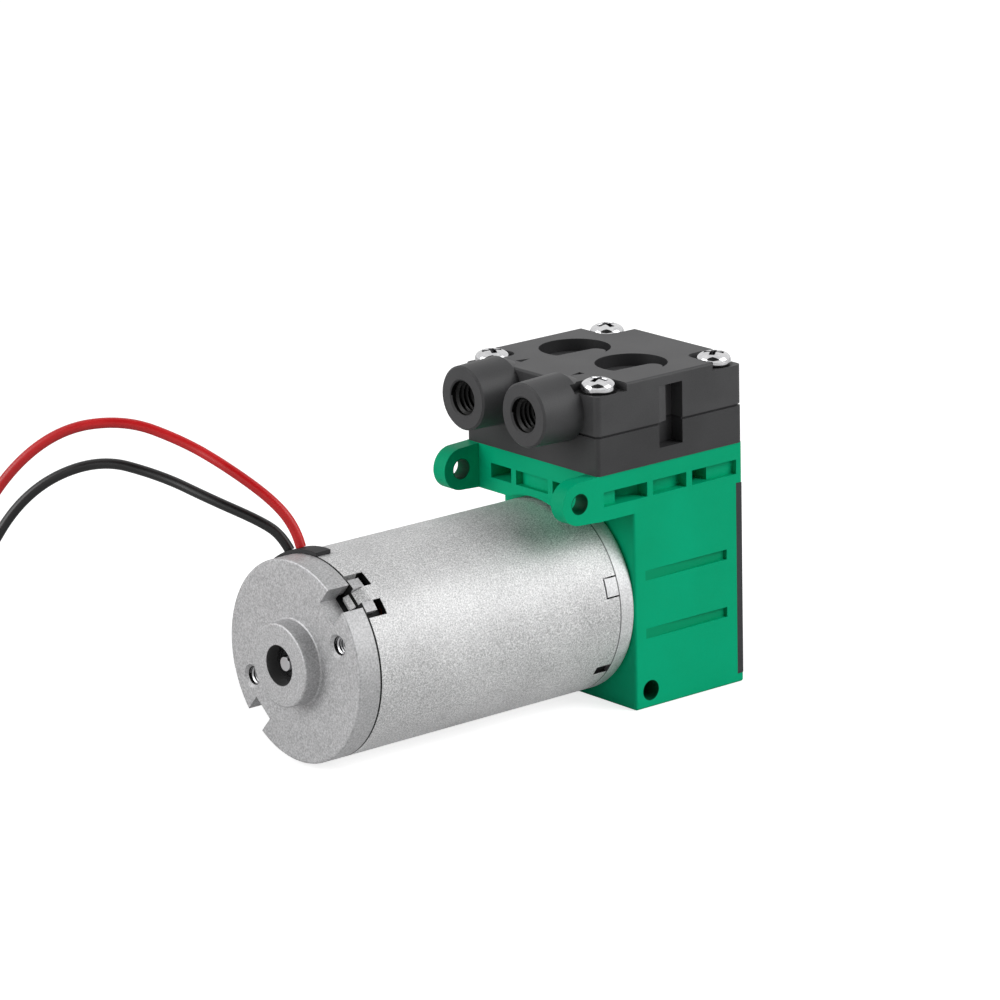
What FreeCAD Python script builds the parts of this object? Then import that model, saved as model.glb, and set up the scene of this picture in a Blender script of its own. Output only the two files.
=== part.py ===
"""Diaphragm vacuum pump with a brushed motor, one solid for each real piece.

Motor frame: X runs along the motor axis from the rear cap's face towards the pump,
Z is up, and the axis is at y = 0, z = 0. Each body is drawn there, and its Placement
then sets the origin under the middle of the pump's length, on the surface it stands on.
Angles round the motor axis are counted from the -Y side upwards, in degrees.
"""
import FreeCAD, Part
import math
import os
import Sketcher

Vector = FreeCAD.Vector
Rotation = FreeCAD.Rotation

doc = FreeCAD.newDocument("diaphragm_vacuum_pump")
sheet = doc.addObject("Spreadsheet::Sheet", "dims")

# Driving dimensions in millimetres and degrees
DIMENSIONS = [
    # Motor shell
    ("can_radius", 17.5),
    ("can_wall", 1.2),
    ("can_length", 52.5),
    ("cap_thickness", 4.5),
    ("cap_floor", 3.4),
    ("spigot_depth", 3.5),
    ("spigot_wall", 1.3),
    ("front_plate", 3.4),
    ("front_spigot", 2.6),
    ("front_step", 0.4),
    ("edge_round", 1.0),
    ("cast_round", 0.35),
    ("fit_clearance", 0.05),
    ("cut_margin", 1.0),
    # Bent tabs and lugs that hold the rear cap in the can
    ("crimp_angle", 48.3),
    ("crimp_slot_half", 14.4),
    ("crimp_slot_depth", 4.05),
    ("crimp_lug_half", 10.9),
    ("crimp_lug_start", 4.7),
    ("crimp_lug_depth", 2.45),
    ("crimp_tab_width", 2.6),
    ("crimp_bend", 2.1),
    ("tab_root", 0.8),
    ("tab_length", 3.2),
    ("tab_reach", 2.0),
    ("notch_depth", 3.8),
    ("notch_half_width", 2.35),
    # Front lugs
    ("front_lug_angle", 16.4),
    ("front_slot_half", 6.1),
    ("front_slot_depth", 2.9),
    ("front_lug_gap", 0.3),
    ("front_lug_play", 0.9),
    ("dimple_angle", -36.5),
    ("dimple_half", 3.4),
    ("dimple_length", 3.2),
    ("dimple_depth", 0.6),
    # Rear boss, motor screw holes and grommet
    ("boss_radius", 7.25),
    ("boss_height", 3.2),
    ("boss_lip", 2.4),
    ("boss_bore", 3.5),
    ("boss_wall", 1.6),
    ("hole_inset", 4.5),
    ("hole_angle", 24.0),
    ("hole_radius", 1.5),
    ("hole_chamfer", 0.6),
    ("front_hole_angle", 45.0),
    ("grommet_angle", 108.0),
    ("grommet_half", 21.5),
    ("grommet_length", 3.1),
    ("grommet_lip", 0.7),
    ("grommet_play", 0.2),
    # Small ball bearings on the motor shaft
    ("shaft_radius", 1.5),
    ("shaft_inset", 1.2),
    ("shaft_chamfer", 0.3),
    ("shaft_proud", 0.5),
    ("bearing_radius", 5.0),
    ("bearing_width", 4.0),
    ("bearing_ring", 0.9),
    ("ball_radius", 0.78),
    ("ball_count", 7),
    ("shield_thickness", 0.25),
    ("shield_gap", 0.12),
    ("spacer_radius", 2.4),
    # Rotor and magnets
    ("air_gap", 0.4),
    ("core_start", 17.0),
    ("core_length", 30.0),
    ("core_hub", 4.6),
    ("pole_count", 5),
    ("pole_shoe", 1.3),
    ("slot_opening", 2.0),
    ("tooth_width", 4.2),
    ("magnet_thickness", 3.3),
    ("magnet_angle", 90.0),
    ("magnet_half", 68.0),
    ("magnet_length", 36.0),
    ("winding_reach", 4.4),
    ("winding_sink", 1.6),
    ("winding_inner", 4.6),
    ("winding_round", 1.8),
    ("winding_play", 0.15),
    ("commutator_radius", 4.5),
    ("commutator_start", 4.9),
    ("commutator_length", 5.4),
    ("commutator_riser", 5.6),
    ("commutator_slot", 0.5),
    ("commutator_base", 3.0),
    ("riser_width", 0.8),
    # Brush gear
    ("plate_thickness", 1.3),
    ("plate_hole", 6.2),
    ("brush_size", 4.0),
    ("brush_sink", 2.4),
    ("tube_wall", 0.4),
    ("tube_inner_end", 5.8),
    ("tube_end_gap", 2.9),
    ("spring_leaf", 0.3),
    ("spring_play", 0.3),
    # Crankcase
    ("case_depth", 25.1),
    ("case_inset", 0.27),
    ("base_drop", 0.84),
    ("deck_rise", 7.54),
    ("deck_thickness", 7.99),
    ("deck_overhang", 8.0),
    ("case_edge_round", 0.5),
    ("case_rear_wall", 2.8),
    ("case_side_wall", 2.6),
    ("case_floor", 2.5),
    ("cavity_roof", 6.04),
    ("cavity_round", 2.0),
    ("arch_clearance", 0.7),
    ("pilot_length", 2.6),
    ("pilot_radius", 6.5),
    ("case_tube_radius", 3.0),
    ("case_hole_radius", 1.73),
    ("case_hole_inset", 3.4),
    ("case_hole_height", 3.14),
    # Pockets round the top deck
    ("pocket_low_drop", 5.54),
    ("pocket_high_drop", 2.94),
    ("deck_ring_wall", 1.63),
    ("pocket_rib", 1.3),
    ("pocket_depth", 4.4),
    ("pocket_edge", 1.4),
    ("pocket_boss", 3.3),
    ("pocket_front_boss", 6.1),
    ("pocket_boss_step", 1.0),
    ("side_rib_inner", 4.0),
    ("side_rib_outer", 4.95),
    ("rear_rib", 4.2),
    ("rear_pocket_end", 10.9),
    # Mounting lugs
    ("lug_reach", 4.0),
    ("lug_drop", 3.94),
    ("lug_radius", 3.75),
    ("lug_thickness", 3.1),
    ("lug_hole_radius", 1.75),
    # Side grooves
    ("groove_start", 2.5),
    ("groove_length", 18.8),
    ("groove_height", 1.8),
    ("groove_upper", 5.5),
    ("groove_lower", -4.9),
    ("groove_depth", 0.7),
    # Crankcase cover
    ("cover_thickness", 1.5),
    ("cover_bottom", 1.64),
    ("cover_top_gap", 7.14),
    ("cover_round", 0.3),
    ("cover_screw_side", 2.35),
    ("cover_screw_end", 2.2),
    ("cover_screw_radius", 0.95),
    ("cover_screw_head", 1.9),
    ("cover_screw_length", 6.0),
    ("cover_post_radius", 2.2),
    # Crank drive
    ("chamber_x", 68.9),
    ("stroke_half", 1.5),
    ("journal_radius", 4.0),
    ("crank_bearing_radius", 8.0),
    ("crank_bearing_width", 5.0),
    ("crank_bearing_ring", 1.1),
    ("crank_ball_radius", 0.85),
    ("crank_ball_count", 9),
    ("weight_radius", 9.4),
    ("weight_chord", 1.0),
    ("weight_thickness", 2.4),
    ("weight_gap", 0.3),
    ("journal_end", 0.3),
    ("grub_radius", 1.0),
    ("grub_length", 4.0),
    ("grub_key_share", 0.55),
    ("rod_ring_wall", 2.0),
    ("rod_width", 4.4),
    ("rod_shank", 6.4),
    ("rod_foot", 4.2),
    ("rod_top_drop", 1.04),
    ("rod_disc_radius", 8.0),
    ("rod_disc_thickness", 1.8),
    # Diaphragm and its clamp
    ("bore_radius", 12.2),
    ("seat_wall", 0.9),
    ("rim_thickness", 0.8),
    ("hub_thickness", 1.2),
    ("rim_inner", 12.0),
    ("hub_margin", 0.4),
    ("convolution", 2.6),
    ("clamp_radius", 8.0),
    ("clamp_thickness", 1.2),
    ("clamp_screw_radius", 1.5),
    ("clamp_screw_head", 2.8),
    ("clamp_screw_length", 7.0),
    ("clamp_sink_share", 0.8),
    # Head
    ("head_depth", 33.1),
    ("head_overhang", 0.18),
    ("block_inset", 0.05),
    ("block_corner", 0.8),
    ("block_height", 6.6),
    ("gasket_thickness", 0.4),
    ("gasket_inset", 0.35),
    ("cover_height", 8.31),
    ("head_corner", 1.1),
    ("head_edge", 0.45),
    ("chamber_height", 3.4),
    ("chamber_radius", 12.0),
    ("screw_span_x", 26.3),
    ("screw_inset", 3.46),
    ("screw_radius", 1.5),
    ("screw_hole_radius", 1.65),
    ("screw_length", 20.0),
    ("screw_head_radius", 3.0),
    ("screw_head_height", 2.3),
    ("pan_side_share", 0.42),
    ("pan_top_share", 0.45),
    ("low_head_share", 0.85),
    ("low_side_share", 0.6),
    ("screw_floor_drop", 1.45),
    ("motor_screw_length", 5.6),
    ("motor_screw_head", 2.75),
    ("screw_pocket_x", 6.8),
    ("screw_pocket_y", 6.6),
    ("front_pocket_y", 7.35),
    ("screw_pocket_round", 2.0),
    ("thread_bottom_gap", 0.6),
    # Valves
    ("valve_offset", 5.5),
    ("valve_hole", 1.8),
    ("flap_length", 6.6),
    ("flap_width", 5.4),
    ("flap_thickness", 0.5),
    ("flap_recess", 1.9),
    ("flap_room", 0.4),
    ("plenum_wall", 1.2),
    ("plenum_length", 18.6),
    ("plenum_side_wall", 1.3),
    ("plenum_height", 4.66),
    # Top recesses and side slots of the head
    ("recess_offset", 7.4),
    ("recess_radius", 6.3),
    ("recess_depth", 2.2),
    ("recess_shift", 0.05),
    ("recess_chord", 7.4),
    ("recess_chord_turn", 4.0),
    ("recess_nose", 1.8),
    ("recess_fill_start", 201.0),
    ("recess_fill_end", -76.0),
    ("arrow_inset", 4.6),
    ("arrow_offset", 6.9),
    ("arrow_length", 2.6),
    ("arrow_width", 1.5),
    ("arrow_depth", 0.4),
    ("slot_offset", 1.1),
    ("slot_width", 3.4),
    ("slot_ramp", 1.9),
    ("slot_depth", 2.9),
    ("slot_ramp_depth", 0.5),
    ("slot_top_gap", 1.9),
    ("slot_bottom_gap", 2.5),
    # Ports
    ("port_offset", 8.06),
    ("port_rise", 3.63),
    ("port_reach", 8.4),
    ("port_radius", 5.64),
    ("port_root_radius", 5.95),
    ("port_fade", 3.0),
    ("port_bore", 3.0),
    ("port_bore_depth", 7.6),
    ("port_chamfer", 0.35),
    ("port_drill", 1.9),
    # Leads
    ("lead_diameter", 1.8),
    ("lead_tip_radius", 0.5),
    ("lead_tip_length", 6.0),
]


class Size:
    """A size that knows its number now and the sheet formula that gives it."""

    def __init__(self, value, formula=None):
        self.value = float(value)
        self.formula = formula or "(%r)" % float(value)

    def join(self, sign, other, value):
        return Size(value, "(%s %s %s)" % (self.formula, sign, other.formula))

    def __add__(self, other):
        other = as_size(other)
        return self.join("+", other, self.value + other.value)

    def __sub__(self, other):
        other = as_size(other)
        return self.join("-", other, self.value - other.value)

    def __mul__(self, other):
        other = as_size(other)
        return self.join("*", other, self.value * other.value)

    def __truediv__(self, other):
        other = as_size(other)
        return self.join("/", other, self.value / other.value)

    def __radd__(self, other):
        return as_size(other) + self

    def __rsub__(self, other):
        return as_size(other) - self

    def __rmul__(self, other):
        return as_size(other) * self

    def __rtruediv__(self, other):
        return as_size(other) / self

    def __neg__(self):
        return as_size(0) - self


def as_size(number):
    return number if isinstance(number, Size) else Size(number)


def cosine(angle):
    angle = as_size(angle)
    return Size(math.cos(math.radians(angle.value)), "cos(%s * 1 deg)" % angle.formula)


def sine(angle):
    angle = as_size(angle)
    return Size(math.sin(math.radians(angle.value)), "sin(%s * 1 deg)" % angle.formula)


def root(number):
    return Size(math.sqrt(number.value), "sqrt(%s)" % number.formula)


class Dimensions:
    """The sheet's cells by name."""


d = Dimensions()
for row, (name, number) in enumerate(DIMENSIONS, start=1):
    sheet.set("A%d" % row, name)
    sheet.set("B%d" % row, str(number))
    sheet.setAlias("B%d" % row, name)
    setattr(d, name, Size(number, "dims.%s" % name))


# Places that several pieces share, worked out from the driving dimensions
can_end = d.cap_thickness + d.can_length
can_inner = d.can_radius - d.can_wall
case_rear = can_end + d.front_plate
case_front = case_rear + d.case_depth
case_side = d.can_radius - d.case_inset
case_width = case_side * 2
axis_height = d.can_radius + d.base_drop
deck_top = d.can_radius + d.deck_rise
deck_bottom = deck_top - d.deck_thickness
cavity_top = deck_top - d.cavity_roof
pocket_low = deck_top - d.pocket_low_drop
pocket_high = deck_top - d.pocket_high_drop
deck_ring = case_side - d.deck_ring_wall
seat_radius = deck_ring - d.seat_wall
lug_height = deck_top - d.lug_drop
rod_top = deck_top - d.rod_top_drop
hole_reach = d.can_radius - d.hole_inset
notch_floor = d.can_radius - d.notch_depth
magnet_inner = can_inner - d.magnet_thickness
core_radius = magnet_inner - d.air_gap
winding_outer = core_radius - d.winding_sink
tube_outer_end = can_inner - d.tube_end_gap
brush_end = tube_outer_end - d.brush_sink
deck_rear = case_rear - d.deck_overhang
middle_x = (case_front - d.boss_height) / 2
spigot_radius = can_inner - d.fit_clearance
spigot_inner = spigot_radius - d.spigot_wall
grommet_radius = d.can_radius + d.grommet_lip
rear_bearing_x = d.boss_lip - d.boss_height
front_bearing_x = case_rear + d.pilot_length - d.front_step - d.bearing_width
shaft_fit = d.shaft_radius + d.fit_clearance
motor_tap = d.screw_radius + d.fit_clearance
core_end = d.core_start + d.core_length
crank_rear = d.chamber_x - d.crank_bearing_width / 2
shaft_end = crank_rear + d.crank_bearing_width + d.journal_end + d.shaft_proud
rod_top_now = rod_top + d.stroke_half
cover_low = d.cover_bottom - axis_height
cover_high = deck_top - d.cover_top_gap
cover_screw_places = [(case_front, way * (case_side - d.cover_screw_side), level)
                      for way in (-1, 1)
                      for level in (cover_low + d.cover_screw_end, cover_high - d.cover_screw_end)]
head_rear = deck_rear
head_front = head_rear + d.head_depth
slot_front = d.chamber_x + d.slot_offset + d.slot_width / 2
head_side = case_side + d.head_overhang
block_top = deck_top + d.block_height
cover_seat = block_top + d.gasket_thickness
head_top = cover_seat + d.cover_height
port_height = cover_seat + d.port_rise
plenum_roof = cover_seat + d.plenum_height
plenum_side = head_side - d.slot_depth - d.plenum_side_wall
chamber_roof = deck_top + d.chamber_height
screw_floor = head_top - d.screw_floor_drop
screw_places = [(d.chamber_x + way_x * d.screw_span_x / 2, way_y * (head_side - d.screw_inset))
                for way_x in (-1, 1) for way_y in (-1, 1)]
port_face = head_rear - d.port_reach


# Drawing helpers

def bind(feature, name, size):
    """Bind a property to the sheet."""
    feature.setExpression(name, as_size(size).formula)


def new_body(label):
    body = doc.addObject("PartDesign::Body", label)
    body.AllowCompound = True
    return body


def origin_part(body, role):
    return [item for item in body.Origin.OriginFeatures if item.Role == role][0]


def new_sketch(body, plane, offset=0, along=0, up=0, turn=0):
    """A sketch on an origin plane: moved along its normal, then within the plane,
    and turned about its own X axis."""
    sketch = body.newObject("Sketcher::SketchObject", "sketch")
    sketch.AttachmentSupport = (origin_part(body, plane), [""])
    sketch.MapMode = "FlatFace"
    if turn:
        turned = Rotation(Vector(1, 0, 0), turn.value)
        sketch.AttachmentOffset = FreeCAD.Placement(Vector(), turned)
        bind(sketch, "AttachmentOffset.Rotation.Angle", turn)
    bind(sketch, "AttachmentOffset.Base.x", along)
    bind(sketch, "AttachmentOffset.Base.y", up)
    bind(sketch, "AttachmentOffset.Base.z", offset)
    return sketch


def pin(sketch, geometry, point, u, v):
    """Hold a point of the sketch at u, v."""
    for kind, size in (("DistanceX", as_size(u)), ("DistanceY", as_size(v))):
        index = sketch.addConstraint(Sketcher.Constraint(kind, -1, 1, geometry, point, size.value))
        sketch.setExpression("Constraints[%d]" % index, size.formula)


def set_radius(sketch, geometry, radius):
    index = sketch.addConstraint(Sketcher.Constraint("Radius", geometry, radius.value))
    sketch.setExpression("Constraints[%d]" % index, radius.formula)


def circle(sketch, u, v, radius):
    u, v, radius = as_size(u), as_size(v), as_size(radius)
    ring = Part.Circle(Vector(u.value, v.value, 0), Vector(0, 0, 1), radius.value)
    geometry = sketch.addGeometry(ring, False)
    pin(sketch, geometry, 3, u, v)
    set_radius(sketch, geometry, radius)


def add_arc(sketch, start, stop, radius):
    """An arc of less than half a turn. It turns left for a positive radius, else right."""
    left = radius.value > 0
    chord = stop - start
    reach = math.sqrt(max(radius.value ** 2 - chord.Length ** 2 / 4, 0))
    side = Vector(-chord.y, chord.x, 0).normalize() * (reach if left else -reach)
    centre = (start + stop) * 0.5 + side
    first, last = (start, stop) if left else (stop, start)
    angles = [math.atan2(point.y - centre.y, point.x - centre.x) for point in (first, last)]
    ring = Part.Circle(centre, Vector(0, 0, 1), abs(radius.value))
    geometry = sketch.addGeometry(Part.ArcOfCircle(ring, angles[0], angles[1]), False)
    set_radius(sketch, geometry, radius if left else -radius)
    return (geometry, 1, 2) if left else (geometry, 2, 1)


def outline(sketch, corners):
    """A closed outline of straight edges. A corner (u, v, radius) starts an arc instead."""
    corners = [tuple(as_size(item) for item in corner) for corner in corners]
    edges = []
    for corner, following in zip(corners, corners[1:] + corners[:1]):
        start = Vector(corner[0].value, corner[1].value, 0)
        stop = Vector(following[0].value, following[1].value, 0)
        if len(corner) == 3:
            edges.append(add_arc(sketch, start, stop, corner[2]))
        else:
            edges.append((sketch.addGeometry(Part.LineSegment(start, stop), False), 1, 2))
    for edge, before in zip(edges, edges[-1:] + edges[:-1]):
        sketch.addConstraint(Sketcher.Constraint("Coincident", before[0], before[2], edge[0], edge[1]))
    for edge, corner in zip(edges, corners):
        pin(sketch, edge[0], edge[1], corner[0], corner[1])


def box_outline(sketch, u_low, u_high, v_low, v_high):
    outline(sketch, [(u_low, v_low), (u_high, v_low), (u_high, v_high), (u_low, v_high)])


def polar(radius, angle):
    """The y and z of a point round the motor axis, its angle counted from -Y upwards."""
    return -(radius * cosine(angle)), radius * sine(angle)


def sector(sketch, inner, outer, start, stop):
    """Part of a ring round the motor axis, between two angles."""
    inner, outer = as_size(inner), as_size(outer)
    outline(sketch, [polar(inner, start), polar(outer, start) + (-outer,),
                     polar(outer, stop), polar(inner, stop) + (inner,)])


def radial_box(sketch, inner, outer, angle, half_width):
    """A rectangle that lies along a radius of the motor, at an angle."""
    corners = []
    for radius, side in ((inner, -1), (outer, -1), (outer, 1), (inner, 1)):
        y, z = polar(as_size(radius), angle)
        corners.append((y + side * half_width * sine(angle), z + side * half_width * cosine(angle)))
    outline(sketch, corners)


def solid_from(body, kind, sketch, length, backwards, both):
    feature = body.newObject("PartDesign::" + kind, kind.lower())
    feature.Profile = sketch
    feature.SideType = "Symmetric" if both else "One side"
    feature.Reversed = backwards
    bind(feature, "Length", length)
    return feature


def pad(body, sketch, length, backwards=False, both=False):
    """Add along the sketch's normal, or against it when backwards is set."""
    return solid_from(body, "Pad", sketch, length, backwards, both)


def pocket(body, sketch, length, backwards=False, both=False):
    """Cut against the sketch's normal, or along it when backwards is set."""
    return solid_from(body, "Pocket", sketch, length, backwards, both)


def turn_round(body, kind, sketch, axis):
    feature = body.newObject("PartDesign::" + kind, kind.lower())
    feature.Profile = sketch
    feature.ReferenceAxis = (sketch, [axis])
    feature.Angle = 360
    return feature


def revolve(body, sketch, axis="H_Axis"):
    return turn_round(body, "Revolution", sketch, axis)


def ease_edges(body, size, test, kind="Fillet"):
    """Round or bevel the edges of the body so far that pass a test."""
    doc.recompute()
    base = body.Tip
    names = ["Edge%d" % (index + 1) for index, edge in enumerate(base.Shape.Edges) if test(edge)]
    feature = body.newObject("PartDesign::" + kind, kind.lower())
    feature.Base = (base, names)
    bind(feature, "Radius" if kind == "Fillet" else "Size", size)
    body.Tip = feature


def repeat_round(body, feature, count, role="X_Axis"):
    """Repeat a feature evenly round one of the body's origin axes."""
    doc.recompute()
    pattern = body.newObject("PartDesign::PolarPattern", "pattern")
    pattern.Originals = [feature]
    pattern.Axis = (origin_part(body, role), [""])
    pattern.Angle = 360
    bind(pattern, "Occurrences", count)
    body.Tip = pattern


def along(axis):
    """A test for straight edges that lie along one axis: 0 for X, 1 for Y, 2 for Z."""
    def test(edge):
        return isinstance(edge.Curve, Part.Line) and abs(abs(edge.Curve.Direction[axis]) - 1) < 1e-6
    return test


def is_circle(edge, radius, centre_x=None):
    """True for a circular edge of this radius, at this x where one is given."""
    if not isinstance(edge.Curve, Part.Circle) or abs(edge.Curve.Radius - radius.value) > 1e-6:
        return False
    return centre_x is None or abs(edge.Curve.Center.x - as_size(centre_x).value) < 1e-6


nodes = {}


def keep(item, label, x=0, y=0, z=0):
    """Record a finished piece under its node name, and shift it from the motor frame,
    or from its own local one at x, y, z, to the pump's origin."""
    item.Label = label
    bind(item, "Placement.Base.x", x - middle_x)
    bind(item, "Placement.Base.y", y)
    bind(item, "Placement.Base.z", z + axis_height)
    nodes[label] = item


def keep_group(label, profile, axis, places):
    """Like fasteners that share one node: one turned profile, set at each place."""
    members = []
    for x, y, z in places:
        body = new_body(label)
        sketch = new_sketch(body, "XZ_Plane")
        outline(sketch, profile)
        revolve(body, sketch, axis)
        bind(body, "Placement.Base.x", x)
        bind(body, "Placement.Base.y", y)
        bind(body, "Placement.Base.z", z)
        members.append(body)
    group = doc.addObject("Part::Compound", label)
    group.Links = members
    keep(group, label)


def turned(label, corners):
    """A body turned about the motor axis from its outline of x and radius."""
    body = new_body(label)
    sketch = new_sketch(body, "XZ_Plane")
    outline(sketch, corners)
    revolve(body, sketch)
    return body


# Motor can: a rolled steel tube whose ends are slotted for the lugs of both caps

def make_motor_can():
    body = new_body("motor_can")
    tube = new_sketch(body, "YZ_Plane", d.cap_thickness)
    circle(tube, 0, 0, d.can_radius)
    circle(tube, 0, 0, can_inner)
    pad(body, tube, d.can_length)
    outside = d.can_radius + d.cut_margin
    inside = can_inner - d.cut_margin
    slots = new_sketch(body, "YZ_Plane", d.cap_thickness)
    bends = new_sketch(body, "YZ_Plane", d.cap_thickness)
    for half_turn in (0, 180):
        crimp = d.crimp_angle + half_turn
        sector(slots, inside, outside, crimp - d.crimp_slot_half, crimp - d.crimp_lug_start)
        sector(slots, inside, outside, crimp + d.crimp_lug_start, crimp + d.crimp_slot_half)
        sector(bends, inside, outside, crimp - d.crimp_lug_start, crimp + d.crimp_lug_start)
    pocket(body, slots, d.crimp_slot_depth, backwards=True)
    pocket(body, bends, d.crimp_bend, backwards=True)
    front_slots = new_sketch(body, "YZ_Plane", can_end)
    dimples = new_sketch(body, "YZ_Plane", can_end)
    for half_turn in (0, 180):
        lug = d.front_lug_angle + half_turn
        spot = d.dimple_angle + half_turn
        sector(front_slots, inside, outside, lug - d.front_slot_half, lug + d.front_slot_half)
        sector(dimples, d.can_radius - d.dimple_depth, outside, spot - d.dimple_half, spot + d.dimple_half)
    pocket(body, front_slots, d.front_slot_depth)
    pocket(body, dimples, d.dimple_length)
    wires = new_sketch(body, "YZ_Plane", d.cap_thickness)
    sector(wires, inside, outside, d.grommet_angle - d.grommet_half, d.grommet_angle + d.grommet_half)
    pocket(body, wires, d.grommet_length, backwards=True)
    tab = new_sketch(body, "XZ_Plane", turn=90 - d.crimp_angle)
    bend = d.cap_thickness + d.crimp_bend
    crown = d.can_radius - 2 * d.fit_clearance
    tip = can_inner - d.tab_reach
    outline(tab, [(bend + d.tab_root, crown), (bend - d.tab_root / 4, crown),
                  (bend - d.tab_length, tip + d.can_wall), (bend - d.tab_length + d.can_wall / 2, tip),
                  (bend - d.tab_root / 4, can_inner), (bend + d.tab_root, can_inner)])
    repeat_round(body, pad(body, tab, d.crimp_tab_width, both=True), 2)
    keep(body, "motor_can")


# Rear cap: die-cast, with the bearing boss. Its lugs stand in the can's slots

def make_rear_end_cap():
    seat_end = rear_bearing_x + d.bearing_width
    spigot_end = d.cap_thickness + d.spigot_depth
    boss_inner = d.bearing_radius + d.boss_wall
    body = turned("rear_end_cap", [
        (-d.boss_height, d.boss_bore), (-d.boss_height, d.boss_radius), (0, d.boss_radius),
        (0, d.can_radius), (d.cap_thickness, d.can_radius), (d.cap_thickness, spigot_radius),
        (spigot_end, spigot_radius), (spigot_end, spigot_inner), (d.cap_floor, spigot_inner),
        (d.cap_floor, boss_inner), (seat_end, boss_inner), (seat_end, d.bearing_radius),
        (rear_bearing_x, d.bearing_radius), (rear_bearing_x, d.boss_bore)])
    ease_edges(body, d.cast_round, lambda edge: is_circle(edge, d.can_radius, 0)
               or is_circle(edge, d.boss_radius))
    lugs = new_sketch(body, "YZ_Plane", d.cap_thickness)
    notches = new_sketch(body, "YZ_Plane")
    reliefs = new_sketch(body, "YZ_Plane", d.cap_thickness)
    holes = new_sketch(body, "YZ_Plane")
    outside = d.can_radius + d.cut_margin
    for half_turn in (0, 180):
        crimp = d.crimp_angle + half_turn
        root = spigot_radius - d.spigot_wall / 2
        sector(lugs, root, d.can_radius, crimp + d.crimp_lug_start, crimp + d.crimp_lug_half)
        sector(lugs, root, d.can_radius, crimp - d.crimp_lug_half, crimp - d.crimp_lug_start)
        radial_box(notches, notch_floor, outside, crimp, d.notch_half_width)
        radial_box(reliefs, notch_floor, outside, crimp, d.crimp_tab_width / 2 + d.fit_clearance)
        circle(holes, *polar(hole_reach, d.hole_angle + half_turn), d.hole_radius)
    pad(body, lugs, d.crimp_lug_depth)
    pocket(body, notches, d.cap_thickness, backwards=True)
    pocket(body, reliefs, d.spigot_depth, backwards=True)
    pocket(body, holes, d.cap_floor, backwards=True)
    ease_edges(body, d.hole_chamfer, lambda edge: is_circle(edge, d.hole_radius, 0), "Chamfer")
    keep(body, "rear_end_cap")


# Front cap: die-cast plate whose pilot boss centres the motor in the crankcase

def make_front_end_cap():
    boss_end = case_rear + d.pilot_length
    seat_end = front_bearing_x + d.bearing_width
    inner_face = can_end + d.front_step
    body = turned("front_end_cap", [
        (can_end - d.front_spigot, spigot_inner), (can_end - d.front_spigot, spigot_radius),
        (can_end, spigot_radius), (can_end, d.can_radius),
        (case_rear - d.edge_round, d.can_radius, -d.edge_round),
        (case_rear, d.can_radius - d.edge_round), (case_rear, d.pilot_radius),
        (boss_end, d.pilot_radius), (boss_end, d.boss_bore), (seat_end, d.boss_bore),
        (seat_end, d.bearing_radius), (inner_face, d.bearing_radius), (inner_face, spigot_inner)])
    lugs = new_sketch(body, "YZ_Plane", can_end)
    holes = new_sketch(body, "YZ_Plane", can_end)
    half = d.front_slot_half - d.front_lug_play
    for half_turn in (0, 180):
        lug = d.front_lug_angle + half_turn
        sector(lugs, spigot_radius - d.spigot_wall / 2, d.can_radius, lug - half, lug + half)
        circle(holes, *polar(hole_reach, d.front_hole_angle + half_turn), motor_tap)
    pad(body, lugs, d.front_slot_depth - d.front_lug_gap, backwards=True)
    pocket(body, holes, d.front_plate, backwards=True)
    keep(body, "front_end_cap")


# Rubber grommet in the can's slot, where the two leads come out

def make_wire_grommet():
    body = new_body("wire_grommet")
    half = d.grommet_half - d.grommet_play
    neck = new_sketch(body, "YZ_Plane", d.cap_thickness)
    sector(neck, can_inner, grommet_radius, d.grommet_angle - half, d.grommet_angle + half)
    pad(body, neck, d.grommet_length - d.fit_clearance)
    keep(body, "wire_grommet")


# Ball bearings: an outer ring with pressed-in shields, an inner ring, and the balls

def make_bearing(label, start, width, outer, bore, ring, ball, count, centre_z=0):
    shoulder = outer - ring
    track = bore + ring
    lip = track + d.shield_gap
    shield = d.shield_thickness
    outer_ring = turned(label, [
        (start, lip), (start, outer), (start + width, outer), (start + width, lip),
        (start + width - shield, lip), (start + width - shield, shoulder),
        (start + shield, shoulder), (start + shield, lip)])
    keep(outer_ring, label + "_outer", z=centre_z)
    inner_ring = turned(label, [(start, bore), (start, track), (start + width, track), (start + width, bore)])
    keep(inner_ring, label + "_inner", z=centre_z)
    balls = new_body(label)
    middle = start + width / 2
    half_ball = new_sketch(balls, "XZ_Plane", up=(shoulder + track) / 2)
    outline(half_ball, [(middle - ball, 0, -ball), (middle, ball, -ball), (middle + ball, 0)])
    repeat_round(balls, revolve(balls, half_ball), count)
    keep(balls, label + "_balls", z=centre_z)


# Rotor: shaft, spacers, five-pole core, windings and commutator

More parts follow.
